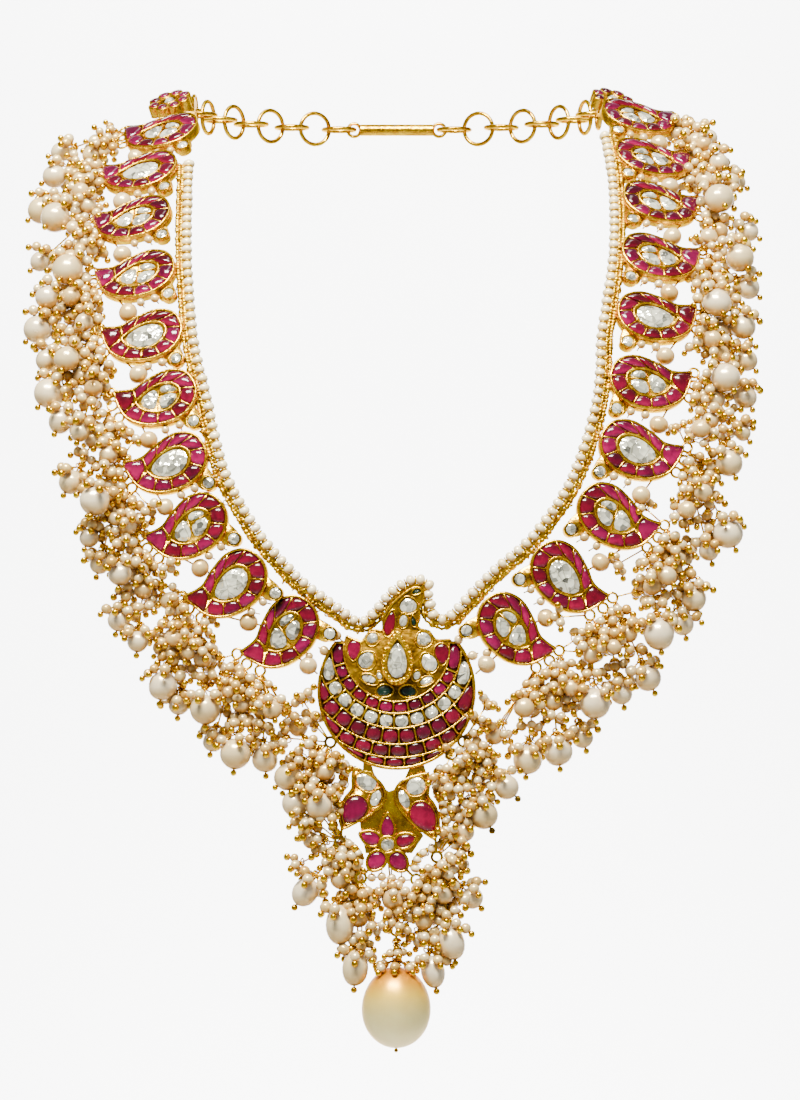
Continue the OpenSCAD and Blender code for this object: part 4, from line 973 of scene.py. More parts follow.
def polki_material(name, tint):
    """Flat uncut diamond on silver foil: bright and dark facets as painted reflections, with grey blotches
    and a few cracks.
    """
    look = Look(name, {"Metallic": 0.45, "IOR": 2.2, "Coat Weight": 0.6, "Coat Roughness": 0.03})
    facets = look.node("TexVoronoi", "Vector", look.place["Object"], {"Scale": 620})
    cracks = look.node("TexVoronoi", "Vector", look.place["Object"], {"Scale": 300})
    cracks.feature = "DISTANCE_TO_EDGE"
    # The facets' bright and dark shades are painted reflections, together with grey blotches that differ at
    # random from cell to cell.
    painted_facet_reflections = [(0.05, darker(tint, 0.12)), (0.3, darker(tint, 0.42)), (0.6, tint)]
    look.colour(look.ramp(facets.outputs["Color"], painted_facet_reflections),
                look.ramp(cracks.outputs["Distance"], [(0.0, (0.4, 0.4, 0.36)), (0.05, (1, 1, 1))]))
    look.rough(look.noise(900, 3, 0.5), 0.04, 0.16)
    return look.bump(facets.outputs["Distance"], 0.6, 0.0006)


def floor_material(name, tint):
    look = Look(name, {"Roughness": 0.9})
    look.colour(look.ramp(look.noise(6, 2, 0.5), [(0.3, darker(tint, 0.985)), (0.7, tint)]))
    return look.material


GOLD = gold_material("gold", (0.3, 0.14, 0.003), (0.58, 0.322, 0.006), (0.78, 0.5, 0.014), 0.22, 0.3)
GOLD_WIRE = gold_material(
    "gold_wire", (0.45, 0.22, 0.004), (0.72, 0.43, 0.009), (0.88, 0.58, 0.02), 0.2, 0.15)
STRING_GOLD = gold_material(
    "string_gold", (0.28, 0.14, 0.002), (0.48, 0.29, 0.005), (0.62, 0.41, 0.01), 0.3, 0.2)
HAMMERED = gold_material(
    "hammered_gold", (0.34, 0.17, 0.003), (0.64, 0.39, 0.008), (0.84, 0.57, 0.02), 0.26, 0.55)
# Dark gold as painted shade between the stones of the crescent.
PAINTED_SHADE_GOLD = gold_material(
    "painted_shade_gold", (0.04, 0.019, 0.001), (0.115, 0.057, 0.002), (0.24, 0.135, 0.004), 0.42, 0.3)
RUBY = gem_material(
    "ruby", [(0.0, (0.12, 0.0004, 0.01)), (0.35, (0.24, 0.0008, 0.032)), (0.7, (0.32, 0.002, 0.085)),
             (1.0, (0.08, 0.0004, 0.01))], 0.1, 0.25)
WINE = gem_material(
    "wine_ruby", [(0.0, (0.07, 0.0008, 0.008)), (0.4, (0.15, 0.0008, 0.018)), (0.8, (0.24, 0.001, 0.03)),
                  (1.0, (0.1, 0.0008, 0.018))], 0.16, 0.35)
EMERALD = gem_material("emerald", [(0.0, (0.0, 0.016, 0.009)), (1.0, (0.001, 0.03, 0.016))], 0.26, 0.15)
POLKI = polki_material("polki", (0.76, 0.77, 0.63))
CREAM = pearl_material(
    "cream_pearl", [(0.0, (0.79, 0.69, 0.43)), (0.5, (0.85, 0.78, 0.56)), (1.0, (0.88, 0.84, 0.7))],
    0.2, 0.6, 0.4)
PEACH = pearl_material(
    "peach_pearl", [(0.0, (0.65, 0.48, 0.2)), (0.5, (0.74, 0.6, 0.31)), (1.0, (0.82, 0.72, 0.47))],
    0.21, 0.6, 0.4)
SEED = pearl_material(
    "seed_pearl", [(0.0, (0.5, 0.32, 0.07)), (0.4, (0.73, 0.58, 0.25)), (1.0, (0.83, 0.76, 0.5))],
    0.2, 0.6, 0.4)
STRING = pearl_material(
    "string_pearl", [(0.0, (0.84, 0.76, 0.46)), (0.5, (0.92, 0.87, 0.6)), (1.0, (0.95, 0.93, 0.76))],
    0.2, 0.5, 0.15)
GOLDEN = golden_pearl_material()
FLOOR = floor_material("pale_floor", (0.93, 0.93, 0.93))


# Mango links

def set_mango(gold, rubies, polkis, side, link, rng):
    """One link: body, rounded rims and walls, rubies, polkis and the small round side setting."""
    plane = link_plane(side, link)
    edge = outline(MANGO_EDGE, 0, 70)
    inner = outline(MANGO_EDGE, 0.35, 70)
    add_skirt(gold, plane, [(inner, 0), (edge, 0.35), (edge, MANGO_T - 0.5), (inner, MANGO_T - 0.1),
                            (outline(MANGO_EDGE, 0.6, 70), MANGO_T - 0.5)])
    rim_z = MANGO_T - 0.12
    add_tube(gold, plane.flat(outline(MANGO_EDGE, RIM_W / 2, 84), rim_z), RIM_TUBE, 8, closed=True)
    middle = outline(MIDDLE_EDGE, -RIM_W / 2, 60)[:-1]
    add_tube(gold, plane.flat(middle, MANGO_T - 0.02), MIDDLE_TUBE, 8, closed=True)
    for out_step, in_step in WALLS:
        a = shifted_at(MANGO_EDGE, out_step, RIM_W / 2)
        b = shifted_at(MIDDLE_EDGE, in_step, -RIM_W / 2)
        add_tube(gold, plane.flat(np.linspace(a, b, 4), rim_z), WALL_TUBE)
    for i in range(len(WALLS)):
        add_cushion(rubies, plane, ruby_cell(i, -0.06), lambda x, y: MANGO_T - 0.3, rng.uniform(0.95, 1.25))
    set_middle(gold, polkis, plane, link[3], rng)
    set_collet(gold, polkis, plane, rng)


def set_middle(gold, polkis, plane, stones, rng):
    """One polki in the middle of a link, or three with grooves between them."""
    cell = outline(MIDDLE_EDGE, 0.05, 40)[:-1]
    girdle = MANGO_T - 0.25
    if stones == 1:
        add_cut(polkis, plane, cell, girdle, MANGO_T + 0.35, rng, 16)
        return
    pieces, grooves, rest = [], [], cell
    for x, y, turn in POLKI_GROOVES:
        start, along = vec(x, y), spoke(math.radians(turn))
        across = vec(-along[1], along[0])
        pieces.append(keep_side(rest, start + across * GROOVE_HALF, across))
        rest = keep_side(rest, start - across * GROOVE_HALF, -across)
        grooves.append(np.linspace(start, start + along * GROOVE_REACH, 60))
    for piece in [*pieces, rest]:
        add_cut(polkis, plane, piece, girdle, MANGO_T + 0.3, rng, 10)
    for groove in grooves:
        near = [p for p in groove if inside(cell, p)]
        if len(near) > 1:
            add_tube(gold, plane.flat(np.array([near[0], near[-1]]), MANGO_T - 0.2), GROOVE_TUBE, 5)


def set_collet(gold, polkis, plane, rng):
    """Small round side setting on its neck, with one polki."""
    neck = even_edge(np.array(COLLET_NECK, float), 24)
    small = scaled(neck, 0.93)
    add_skirt(gold, plane, [(small, 0.3), (neck, 0.6), (neck, MANGO_T - 1.4), (small, MANGO_T - 1.0)])
    levels = [(0.25, 0.2), (0, 0.5), (0, MANGO_T - 0.3), (0.1, MANGO_T + 0.05), (0.25, MANGO_T),
              (0.3, MANGO_T - 0.8)]
    add_skirt(gold, plane, [(circle(COLLET_R - g, 24, COLLET), z) for g, z in levels])
    add_cut(polkis, plane, circle(COLLET_R - 0.26, 20, COLLET), MANGO_T - 0.1, MANGO_T + 0.3, rng, 10)


# Strings of seed pearls

def lay_string(pearls, wires, way, size, rng, lifts, rows=1):
    """Seed pearls along a way, a wound wire in each gap and rows of lumpy gold wire beside them."""
    pitch = np.linalg.norm(way[1] - way[0])
    beside = [way + lifts * (size * 0.5 + 1.0 * k) for k in range(rows)]
    for i in range(len(way)):
        along = way[min(i + 1, len(way) - 1)] - way[max(i - 1, 0)]
        d = size * rng.uniform(0.93, 1.05)
        add_ball(pearls, SEED_BALL, way[i], (d, d, pitch * rng.uniform(0.8, 0.9)), along, 0.04, rng)
        if i + 1 == len(way):
            continue
        gap = (way[i] + way[i + 1]) / 2
        step = unit(way[i + 1] - way[i])
        add_ring(wires, gap, step, size * rng.uniform(0.27, 0.33), THIN_WIRE, 10, 5)
        add_tube(wires, [gap, (beside[-1][i] + beside[-1][i + 1]) / 2], 0.3, 5)
        for row in beside:
            lump = (row[i] + row[i + 1]) / 2
            for shift in (-0.3, 0, 0.3):
                spot = lump + step * pitch * (shift + rng.uniform(-0.06, 0.06))
                spot = spot + vec(0, rng.uniform(-0.3, 0.3), 0)
                add_ball(wires, DROP_BALL, spot, rng.uniform(1.1, 1.75), step, 0.12, rng)
            if rng.random() < 0.5:
                tangle(wires, lump, step, rng, 1)
    for row in beside:
        add_tube(wires, row, 0.4)


def inner_way(side):
    """Middle of the inner string: it follows the outward turn of the links."""
    points = []
    for x, z in STRINGS[side]:
        share = min(1, max(0, (abs(x) - 12) / 20))
        reach = STRING_REACH * math.tan(math.radians(yaw_at(z))) * share
        points.append([x, depth_at(z) - reach - HALF_T, z])
    return np.array(points)


def towards_metal(way):
    """Unit vectors from the inner string to the links or the crest that carry it, seen from the front."""
    along = np.gradient(way, axis=0)
    left = np.column_stack([-along[:, 2], np.zeros(len(way)), along[:, 0]])
    left /= np.linalg.norm(left, axis=1)[:, None]
    low_middle = vec(0, 0, PENDANT_Z)
    outward = way * vec(1, 0, 0)
    close = np.abs(way[:, 0]) < 12
    wanted = np.where(close[:, None], low_middle - way, outward)
    sign = np.sign(np.einsum("ni,ni->n", left, wanted))
    sign[sign == 0] = 1
    return left * sign[:, None] + vec(0, 0.2, 0)


# The fringe

def pushed(place, radius, others, reaches, share, itself=0.0):
    """How far each small pearl is pushed out of the balls that it overlaps."""
    gap = place[:, None] - others[None]
    far = np.maximum(np.linalg.norm(gap, axis=2), 1e-6) + itself
    over = np.maximum(0, radius[:, None] + reaches[None] - far)
    return (gap / far[..., None] * over[..., None]).sum(1) * share


class Fringe:
    """Pearls and wires, strand by strand. At the end the small pearls are pushed clear of one another."""

    def __init__(self, rng):
        self.rng = rng
        self.small = []
        self.fixed = []
        self.made = {side: (Batch(), Batch()) for side in CARRIERS}

    def start(self, side):
        """The side that what follows hangs from, or 0 for the pendant."""
        self.side = side
        self.wires = self.made[side][1]
        self.bigs, self.mids = Batch(), Batch()

    def block(self, middle, radius):
        self.fixed.append((middle, radius))

    def tangle(self, point, along, loops):
        tangle(self.wires, point, along, self.rng, loops)

    def bunch(self, point, along, count, reach, size):
        """Small pearls that hang from one point of a strand, all round it."""
        rng, axes = self.rng, frame_along(along)
        start = rng.uniform(0, 2 * math.pi)
        for k in range(count):
            a = start + 2 * math.pi * k / count + rng.uniform(-0.3, 0.3)
            out = math.cos(a) * axes[:, 0] + math.sin(a) * axes[:, 1] + axes[:, 2] * rng.uniform(0.1, 0.9)
            d = size * rng.uniform(0.88, 1.1)
            place = point + unit(out) * reach * rng.uniform(0.9, 1.15)
            self.small.append([place, d / 2, point, self.side])

    def pearl(self, batch, middle, width, height, along, wobble, over, share=1.0):
        """A larger pearl, and small ones that hang over its top from the wire above it."""
        rng, axes = self.rng, frame_along(along)
        add_ball(batch, PEARL_BALL, middle, (width, width, height * share), along, wobble, rng)
        self.block(middle, width / 2)
        root = middle - axes[:, 2] * (height / 2 + 1.5)
        count, size = over
        start = rng.uniform(0, 2 * math.pi)
        for k in range(count):
            a = start + 2 * math.pi * k / count + rng.uniform(-0.25, 0.25)
            low = math.radians(rng.uniform(38, 66))
            d = size * rng.uniform(0.88, 1.1)
            flat = math.cos(a) * axes[:, 0] + math.sin(a) * axes[:, 1]
            out = flat * math.sin(low) * (width + d) / 2 - axes[:, 2] * math.cos(low) * (height + d) / 2
            self.small.append([middle + out, d / 2, root, self.side])
        self.tangle(root, along, 4)

    def settle(self):
        """Pushes the small pearls apart, each held near its own place."""
        home = np.array([s[0] for s in self.small])
        radius = np.array([s[1] for s in self.small])
        solid = np.array([f[0] for f in self.fixed])
        reaches = np.array([f[1] for f in self.fixed])
        itself = np.eye(len(home)) * 99
        place = home.copy()
        for _ in range(SETTLE_ROUNDS):
            push = pushed(place, radius, place, radius, 0.4, itself)
            away = place + (push + pushed(place, radius, solid, reaches, 0.7)) - home
            length = np.maximum(np.linalg.norm(away, axis=1), 1e-9)
            place = home + away * np.minimum(1, LEASH / length)[:, None]
        for s, p in zip(self.small, place):
            s[0] = p

    def finish(self):
        """Each small pearl on its own wire, from its strand out to a gold ball beyond the pearl."""
        rng = self.rng
        for place, radius, root, side in self.small:
            seeds, wires = self.made[side]
            out = unit(place - root)
            d = 2 * radius
            add_ball(seeds, SEED_BALL, place, (d, d, d * rng.uniform(0.88, 1)), out, 0.05, rng)
            hanging = unit(out + vec(0, 0, -rng.uniform(0.3, 1.0)))
            size = rng.uniform(1.65, 2.05)
            ball = place + hanging * (radius + size * 0.4)
            add_ball(wires, DROP_BALL, ball, size)
            mid = root + (place - root) * 0.5 + vec(*(rng.uniform(-0.25, 0.25) for _ in range(3)))
            add_tube(wires, [root, mid, ball], HAIR_WIRE, 4)


def tangle(wires, point, along, rng, loops):
    """Loops of fine wire where a bunch of small pearls is wound on."""
    for _ in range(loops):
        tilt = vec(*(rng.gauss(0, 0.7) for _ in range(3)))
        spot = point + vec(*(rng.uniform(-0.5, 0.5) for _ in range(3)))
        add_ring(wires, spot, along + tilt, rng.uniform(0.6, 1.15), FINE_WIRE, 10, 4)


def hang_strand(fringe, top, big, width, height, middle):
    """One strand: wound wire, a bunch, a middle pearl and its bunch, the large pearl and its bunch."""
    along = unit(big - top)
    length = np.linalg.norm(big - top)
    end = big + along * (height + BALL_D) / 2
    add_tube(fringe.wires, [top, top + along * length / 2, end], PIN_R)
    add_coil(fringe.wires, top, top + along * min(2.4, length * 0.2))
    add_ball(fringe.wires, DROP_BALL, end, BALL_D)
    fringe.pearl(fringe.bigs, big, width, height, along, 0.03, OVER_LARGE)
    free = length - height / 2 - 3
    if middle:
        at = top + along * length * MID_SHARE
        fringe.pearl(fringe.mids, at, MID_PEARL, MID_PEARL, along, 0.04, OVER_MIDDLE, 0.96)
        low = length * MID_SHARE + MID_PEARL / 2
        if free - low > 1.5:
            fringe.bunch(top + along * (low + 1), along, 4, 2.3, 2.8)
        free = length * MID_SHARE - MID_PEARL / 2 - 3
    if free > 2:
        fringe.bunch(top + along * min(1.6, free / 2), along, 4, 2.4, 2.8)
        fringe.tangle(top + along * 1.2, along, 3)


def seen_at(column, row, plane, lift):
    """The point of a plane, raised by lift, that the photo shows at a pixel."""
    eye = np.array(CAMERA_PLACE) / MM
    ray = vec((column - PHOTO_MIDDLE[0]) * PIXEL_MM, CAMERA_REACH, -(row - PHOTO_MIDDLE[1]) * PIXEL_MM)
    normal = plane.turn[:, 2]
    return eye + ray * ((lift + normal @ (plane.origin - eye)) / (normal @ ray))


def carrier_rings(side):
    """The rings that strands of a side, or of the pendant, hang from: middle, plane."""
    if side:
        planes = [link_plane(side, link) for link in LINKS[side]]
        return [(plane(vec(x, y, HALF_T)), plane) for plane in planes for x, y, _, _ in RINGS]
    spots = sorted({(s[0], s[1]) for s in PENDANT_STRANDS})
    return [(PENDANT(vec(x, y, STRAND_Z)), PENDANT) for x, y in spots]


def hang_more(fringe):
    """Pearls of the photo that the part's strands don't have, each on the nearest ring."""
    rings = carrier_rings(fringe.side)
    for column, row, pixels in MORE_PEARLS[fringe.side]:
        d = pixels * PIXEL_MM
        best = None
        for ring, plane in rings:
            for lift in (1.5, 3.5, 5.5, -1.5):
                spot = seen_at(column, row, plane, lift)
                clash = sum(max(0.0, r + d / 2 - np.linalg.norm(spot - c)) for c, r in fringe.fixed)
                cost = np.linalg.norm(spot - ring) + 4 * clash + 0.3 * abs(lift)
                if best is None or cost < best[0]:
                    best = (cost, ring, spot, plane.turn[:, 2])
        _, ring, spot, normal = best
        top = leave_ring(ring, spot, normal)
        along = unit(spot - top)
        end = spot + along * (d / 2 + 0.8)
        add_tube(fringe.wires, [top, (top + spot) / 2, end], FINE_WIRE)
        add_ball(fringe.wires, DROP_BALL, end, 1.6)
        batch = fringe.bigs if d > 6 else fringe.mids
        fringe.pearl(batch, spot, d, d, along, 0.04, OVER_MORE, fringe.rng.uniform(0.94, 1.06))


def hang_bunches(fringe):
    """Small pearls in loose bunches, each bunch on a wire from the nearest ring."""
    rings = carrier_rings(fringe.side)
    for column, row, count in MORE_BUNCHES[fringe.side]:
        lift = fringe.rng.uniform(0.7, 3.7)
        spots = [(seen_at(column, row, plane, lift), ring) for ring, plane in rings]
        spot, ring = min(spots, key=lambda pair: np.linalg.norm(pair[0] - pair[1]))
        along = unit(spot - ring)
        way = [ring + RING_R * along, (ring + spot) / 2 + vec(0, 0.4, 0), spot]
        add_tube(fringe.wires, way, FINE_WIRE)
        fringe.bunch(spot, along, count, 2.2, 2.6)
        fringe.tangle(spot, along, 3)


def has_middle(top, big, width):
    """The part's rule for a middle pearl: enough bare wire on both sides of it."""
    length = np.linalg.norm(big - top)
    return (length * (1 - MID_SHARE) > width / 2 + MID_PEARL / 2 + PEARL_ROOM
            and length * MID_SHARE > MID_PEARL / 2 + RING_ROOM)


def hang_rings(wires, side):
    """The soldered rings of every link and the pins that join the links."""
    for k, link in enumerate(LINKS[side]):
        plane = link_plane(side, link)
        for x, y, seat_x, seat_y in RINGS:
            middle = plane(vec(x, y, HALF_T))
            seat = plane(vec(seat_x, seat_y, HALF_T))
            add_ring(wires, middle, plane.turn[:, 2], RING_R, RING_WIRE, 18, 7)
            add_tube(wires, [seat, middle + RING_R * unit(seat - middle)], RING_WIRE)
        a, b = pin_ends(side, k)
        add_tube(wires, [a, (a + b) / 2, b], PIN_R)


def hang_link_pearls(fringe, pearls):
    """The pearl on the pin between two links, and small ones beside it."""
    rng, links = fringe.rng, LINKS[fringe.side]
    for k, link in enumerate(links):
        last = k == len(links) - 1
        a, b = pin_ends(fringe.side, k)
        d = min(LINK_PEARL, np.linalg.norm(b - a) * 0.69) * 1.06
        middle = a + (b - a) * (0.5 if last else PEARL_SHARE)
        add_ball(pearls, PEARL_BALL, middle, (d, d, d * rng.uniform(0.9, 1)), b - a, 0.04, rng)
        fringe.block(middle, d / 2)
        plane = link_plane(fringe.side, link)
        for x, y in BESIDE_LINK[:1] if last else BESIDE_LINK:
            spot = plane(vec(x, y, HALF_T))
            add_ball(pearls, SEED_BALL, spot, rng.uniform(2.1, 2.5), b - a, 0.05, rng)
            start = plane(vec(x * 0.85, y * 0.7, HALF_T))
            add_tube(fringe.wires, [start, spot, spot + (b - a) * 0.25], THIN_WIRE, 5)


# Overlays of the pendant

def dome_at(x, y):
    """Height of the pendant's face: the dome, or the flat crest above it."""
    if y > CREST_FROM:
        return CREST_TOP
    return math.sqrt(DOME_R ** 2 - x * x - y * y) - DOME_R + DOME_H


def on_face(xy, lift):
    return PENDANT(np.array([[x, y, dome_at(x, y) + lift] for x, y in xy]))


def round_ring(radius, angle):
    """The point of the crescent at a radius and an angle round the middle of its rows."""
    return vec(*RING_MID) + radius * spoke(angle)


def row_cell(row, i, g):
    """Outline of stone i of a crescent row, g smaller all round, cut by the disc's rim."""
    inner, outer, count, middle, pitch = row
    low = middle + (i - count / 2) * pitch
    turns = np.radians([low, low + pitch])
    if i == 0:
        turns[0] -= math.radians(pitch)
    if i == count - 1:
        turns[1] += math.radians(pitch)
    edge = []
    for r, order in ((inner + g, 1), (outer - g, -1)):
        trim = (WALL_W / 2 + g) / r
        span = np.linspace(turns[0] + trim, turns[1] - trim, 9)[::order]
        edge += [round_ring(r, a) for a in span]
    edge = keep_in_circle(np.array(edge), DISC_R - RIM_W - g)
    if len(edge) > 2:
        edge = keep_side(edge, vec(0, HORN_TOP - RIM_W - g), vec(0, -1))
    return edge


def set_crescent(gold, rubies, wine, polkis, emeralds, rng):
    """The dome's rows of stones with the gold walls between them, its rim and its single stones."""
    for index, row in enumerate(ROWS):
        for i in range(row[2]):
            cell = row_cell(row, i, 0.05)
            if len(cell) < 3 or abs(area(cell)) < 1.2:
                continue
            if index == POLKI_ROW:
                cell = rounder(row_cell(row, i, 0.12), 16)
                face = dome_at(*cell.mean(0))
                add_cut(polkis, PENDANT, cell, face - 0.1, face + 0.3, rng, 18)
            else:
                batch = rubies if index == 0 else wine
                add_cushion(batch, PENDANT, rounder(cell, 8), lambda x, y: dome_at(x, y) - 0.2, 0.8, 22, 5)
    inside_rim = DISC_R - 0.3
    for radius in [ROWS[0][0] - 0.2] + [(a[1] + b[0]) / 2 for a, b in zip(ROWS, ROWS[1:])]:
        way = [round_ring(radius, a) for a in np.radians(np.linspace(170, 370, 120))]
        way = [p for p in way if np.linalg.norm(p) < inside_rim and p[1] < HORN_TOP - 0.3]
        add_tube(gold, on_face(way, 0.02), ROW_TUBE)
    for inner, outer, count, middle, pitch in ROWS:
        for i in range(1, count):
            a = math.radians(middle + (i - count / 2) * pitch)
            way = [round_ring(r, a) for r in np.linspace(inner - 0.2, outer + 0.2, 5)]
            way = [p for p in way if np.linalg.norm(p) < inside_rim]
            if len(way) > 1:
                add_tube(gold, on_face(way, 0.0), ROW_WALL_TUBE)
    half = math.degrees(math.asin(HORN_TOP / DISC_R))
    rim = [vec(DISC_R - 0.4, 0) @ about_z(-a)[:2, :2].T for a in np.linspace(-half, 180 + half, 110)]
    add_tube(gold, on_face(rim, 0.0), DISC_TUBE, 8)
    crest = along_way(CREST_EDGE[1:-1], 0.6)
    add_tube(gold, on_face([p + unit(vec(0, 12) - p) * 0.35 for p in crest], 0.0), CREST_TUBE, 7)
    for s in CRESCENT_RUBIES:
        face = set_rim(gold, s)
        add_cushion(rubies, PENDANT, stone_edge(s, 0.02), lambda x, y: face - 0.15, 0.8)
    for stones, batch in ((CRESCENT_POLKIS + MORE_POLKIS, polkis), (CRESCENT_EMERALDS, emeralds)):
        for s in stones:
            face = set_rim(gold, s)
            add_cut(batch, PENDANT, stone_edge(s, 0.02), face - 0.1, face + 0.4, rng, 12)


def set_rim(gold, s):
    """A rounded gold rim for one stone on the dome, and the dome's height there."""
    add_tube(gold, on_face(stone_edge(s, -0.12), 0.05), WALL_TUBE, closed=True)
    return dome_at(s[0], s[1])


def set_pear(gold, hammered, polkis, rng):
    """The raised pear setting: a granular gold collar round its stone."""
    top = DOME_H + PEAR_RISE
    base = drop_edge(PEAR_SIZE[0] + 1.0, PEAR_SIZE[1] + 1.0, 0.6, 48) + vec(*PEAR)
    stone = drop_edge(PEAR_STONE[0] + 1.2, PEAR_STONE[1] + 1.2, 0.7, 48) + vec(PEAR[0], PEAR[1] - 0.5)
    levels = ((1.0, 2.1), (1.0, top - 0.9), (0.97, top - 0.1), (0.9, top + 0.3))
    shapes = [(PEAR + (base - PEAR) * share, z) for share, z in levels]
    shapes.append((stone + (stone - stone.mean(0)) * 0.12, top + 0.55))
    shapes += [(stone, top + 0.45), (stone, top - 0.6)]
    add_skirt(hammered, PENDANT, shapes)
    rim = stone + (stone - stone.mean(0)) * 0.05
    add_tube(gold, PENDANT.flat(rim, top + 0.5), 0.2, 7, closed=True)
    for k in range(0, 48, 2):
        x, y = PEAR + (base[k] - PEAR) * rng.uniform(0.84, 0.92)
        add_ball(hammered, DROP_BALL, PENDANT(vec(x, y, top + 0.3)), rng.uniform(0.9, 1.5))
    add_cut(polkis, PENDANT, stone, top + 0.3, top + 1.0, rng, 16)


def set_lower(gold, rubies, polkis, rng):
    """Keris and flower: raised faces with rounded rims, cabochons and polkis."""
    face = LOWER_T + 0.12

    def add_rim(edge, z, wire, sides=7):
        add_tube(gold, PENDANT.flat(edge, z), wire, sides, closed=True)

    for keri in (KERI_LEFT, KERI_RIGHT):
        edge = even_edge(np.array(keri, float), 70)
        small = scaled(edge, 0.97)
        add_skirt(gold, PENDANT, [(small, LOWER_T - 0.4), (small, face)])
        add_rim(scaled(edge, 0.965), face, KERI_TUBE)
    for s in KERI_RUBIES:
        add_rim(stone_edge(s, -0.1), face + 0.05, 0.26, 6)
        add_cushion(rubies, PENDANT, stone_edge(s, 0.02), lambda x, y: face - 0.1, 1.5, 34, 8)
    for s in PETALS:
        add_rim(stone_edge(s, -0.1), LOWER_T + 0.1, PETAL_TUBE)
        stone = [s[0], s[1], s[2] - 0.4, s[3] - 0.4, s[4], s[5]]
        add_cushion(rubies, PENDANT, stone_edge(stone, -0.1), lambda x, y: LOWER_T - 0.1, 1.2)
    for s in KERI_POLKIS:
        add_rim(stone_edge(s, -0.2), face + 0.05, 0.22, 6)
        add_cut(polkis, PENDANT, stone_edge(s, 0.02), face + 0.06, face + 0.45, rng, 12)
    add_rim(circle(FLOWER_STONE + 0.45, 30, FLOWER), LOWER_T + 0.3, FLOWER_TUBE)
    add_cut(polkis, PENDANT, circle(FLOWER_STONE + 0.2, 24, FLOWER), LOWER_T + 0.3, LOWER_T + 1.0, rng, 12)


def set_top_flower(gold, rubies, polkis, side, rng):
    """A flower at the top of a side: a polki with ruby petals round it."""
    plane = flower_plane(side)
    add_tube(gold, plane.flat(circle(2.15, 28), MANGO_T), TOP_FLOWER_TUBE, 7, closed=True)
    add_cut(polkis, plane, circle(1.8, 20), MANGO_T - 0.1, MANGO_T + 0.45, rng, 10)
    for i in range(PETAL_COUNT):
        middle = FLOWER_R * spoke(2 * math.pi * i / PETAL_COUNT)
        rim = plane.flat(circle(PETAL_R - 0.3, 20, middle), MANGO_T)
        add_tube(gold, rim, TOP_PETAL_TUBE, 7, closed=True)
        add_cushion(rubies, plane, circle(PETAL_R - 0.5, 20, middle), lambda x, y: MANGO_T - 0.1, 0.9, 18, 5)


# Everything in its place

def build_links():
    for side, word in SIDES.items():
        rng = random.Random(SEEDS["links"] + side)
        gold, rubies, polkis = Batch(), Batch(), Batch()
        for link in LINKS[side]:
            set_mango(gold, rubies, polkis, side, link, rng)
        made = gold.make(f"gold_links_{word}", GOLD, "gold")
        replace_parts(made, *[f"mango_{word}_{k:02d}" for k in range(1, 11)])
        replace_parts(rubies.make(f"rubies_{word}", RUBY, "ruby"), f"mango_rubies_{word}")
        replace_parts(polkis.make(f"polkis_{word}", POLKI, "polki"), f"mango_polkis_{word}")


def build_strings():
    for side, word in SIDES.items():
        rng = random.Random(SEEDS["strings"] + side)
        pearls, wires = Batch(), Batch()
        way = along_way(inner_way(side), INNER_PITCH)
        lay_string(pearls, wires, way, INNER_WIDTH, rng, towards_metal(way), 2)
        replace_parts(pearls.make(f"inner_pearls_{word}", STRING, "seed_pearl"), f"inner_string_{word}")
        wires.make(f"inner_wire_{word}", STRING_GOLD, "gold")
        fine, wound = Batch(), Batch()
        way = PENDANT.flat(along_way(KERI_STRINGS[side], KERI_PITCH), FINE_STRING_Z)
        lifts = np.tile(vec(-side * 0.6, 0.5, 0), (len(way), 1))
        lay_string(fine, wound, way, KERI_WIDTH, rng, lifts)
        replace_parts(fine.make(f"keri_pearls_{word}", STRING, "seed_pearl"), f"keri_string_{word}")
        wound.make(f"keri_wire_{word}", STRING_GOLD, "gold")


def hang_centre(fringe):
    """The short strand from the flower down to the ring that carries the golden drop."""
    top = PENDANT(vec(*CENTRE_TOP, STRAND_Z))
    low = PENDANT(vec(CENTRE_RING[0], CENTRE_RING[1] + RING_R, STRAND_Z))
    down = unit(low - top)
    size = MID_PEARL * 1.12
    for drop in (0, 2, 4):
        fringe.block(low - vec(0, 0, RING_R + drop), 1.9)
    fringe.pearl(fringe.mids, top + (low - top) * CENTRE_PEARL, size, size, down, 0.03, OVER_MORE)
    for share, count in ((0.42, 4), (0.78, 6)):
        fringe.bunch(top + (low - top) * share, down, count, 2.2, 2.5)
        fringe.tangle(top + (low - top) * share, down, 4)


def hang_beside(fringe):
    """The small pearls under the flower and beside the horns of the crescent."""
    rng = fringe.rng
    row = [PENDANT(vec(x, y, STRAND_Z - 0.6)) for x, y in FLOWER_PEARLS]
    start, end = [PENDANT(vec(x, y, STRAND_Z)) for x, y in FLOWER_WIRE_ENDS]
    add_tube(fringe.wires, [start, *row, end], FINE_WIRE)
    for x, y in HORN_PEARLS:
        spot, seat = PENDANT(vec(x, y, 2.6)), PENDANT(vec(x * 0.86, y * 0.86, 2.2))
        add_ball(fringe.mids, SEED_BALL, spot, rng.uniform(2.5, 2.8), spot - seat, 0.05, rng)
        add_tube(fringe.wires, [seat, spot, spot + unit(spot - seat) * 1.7], FINE_WIRE, 5)
        fringe.block(spot, 1.3)
    for p in row:
        add_ball(fringe.mids, SEED_BALL, p, rng.uniform(2.3, 2.6), vec(1, 0, 0), 0.05, rng)
        add_tube(fringe.wires, [p, p + vec(0, 0.3, 2.4)], THIN_WIRE, 5)


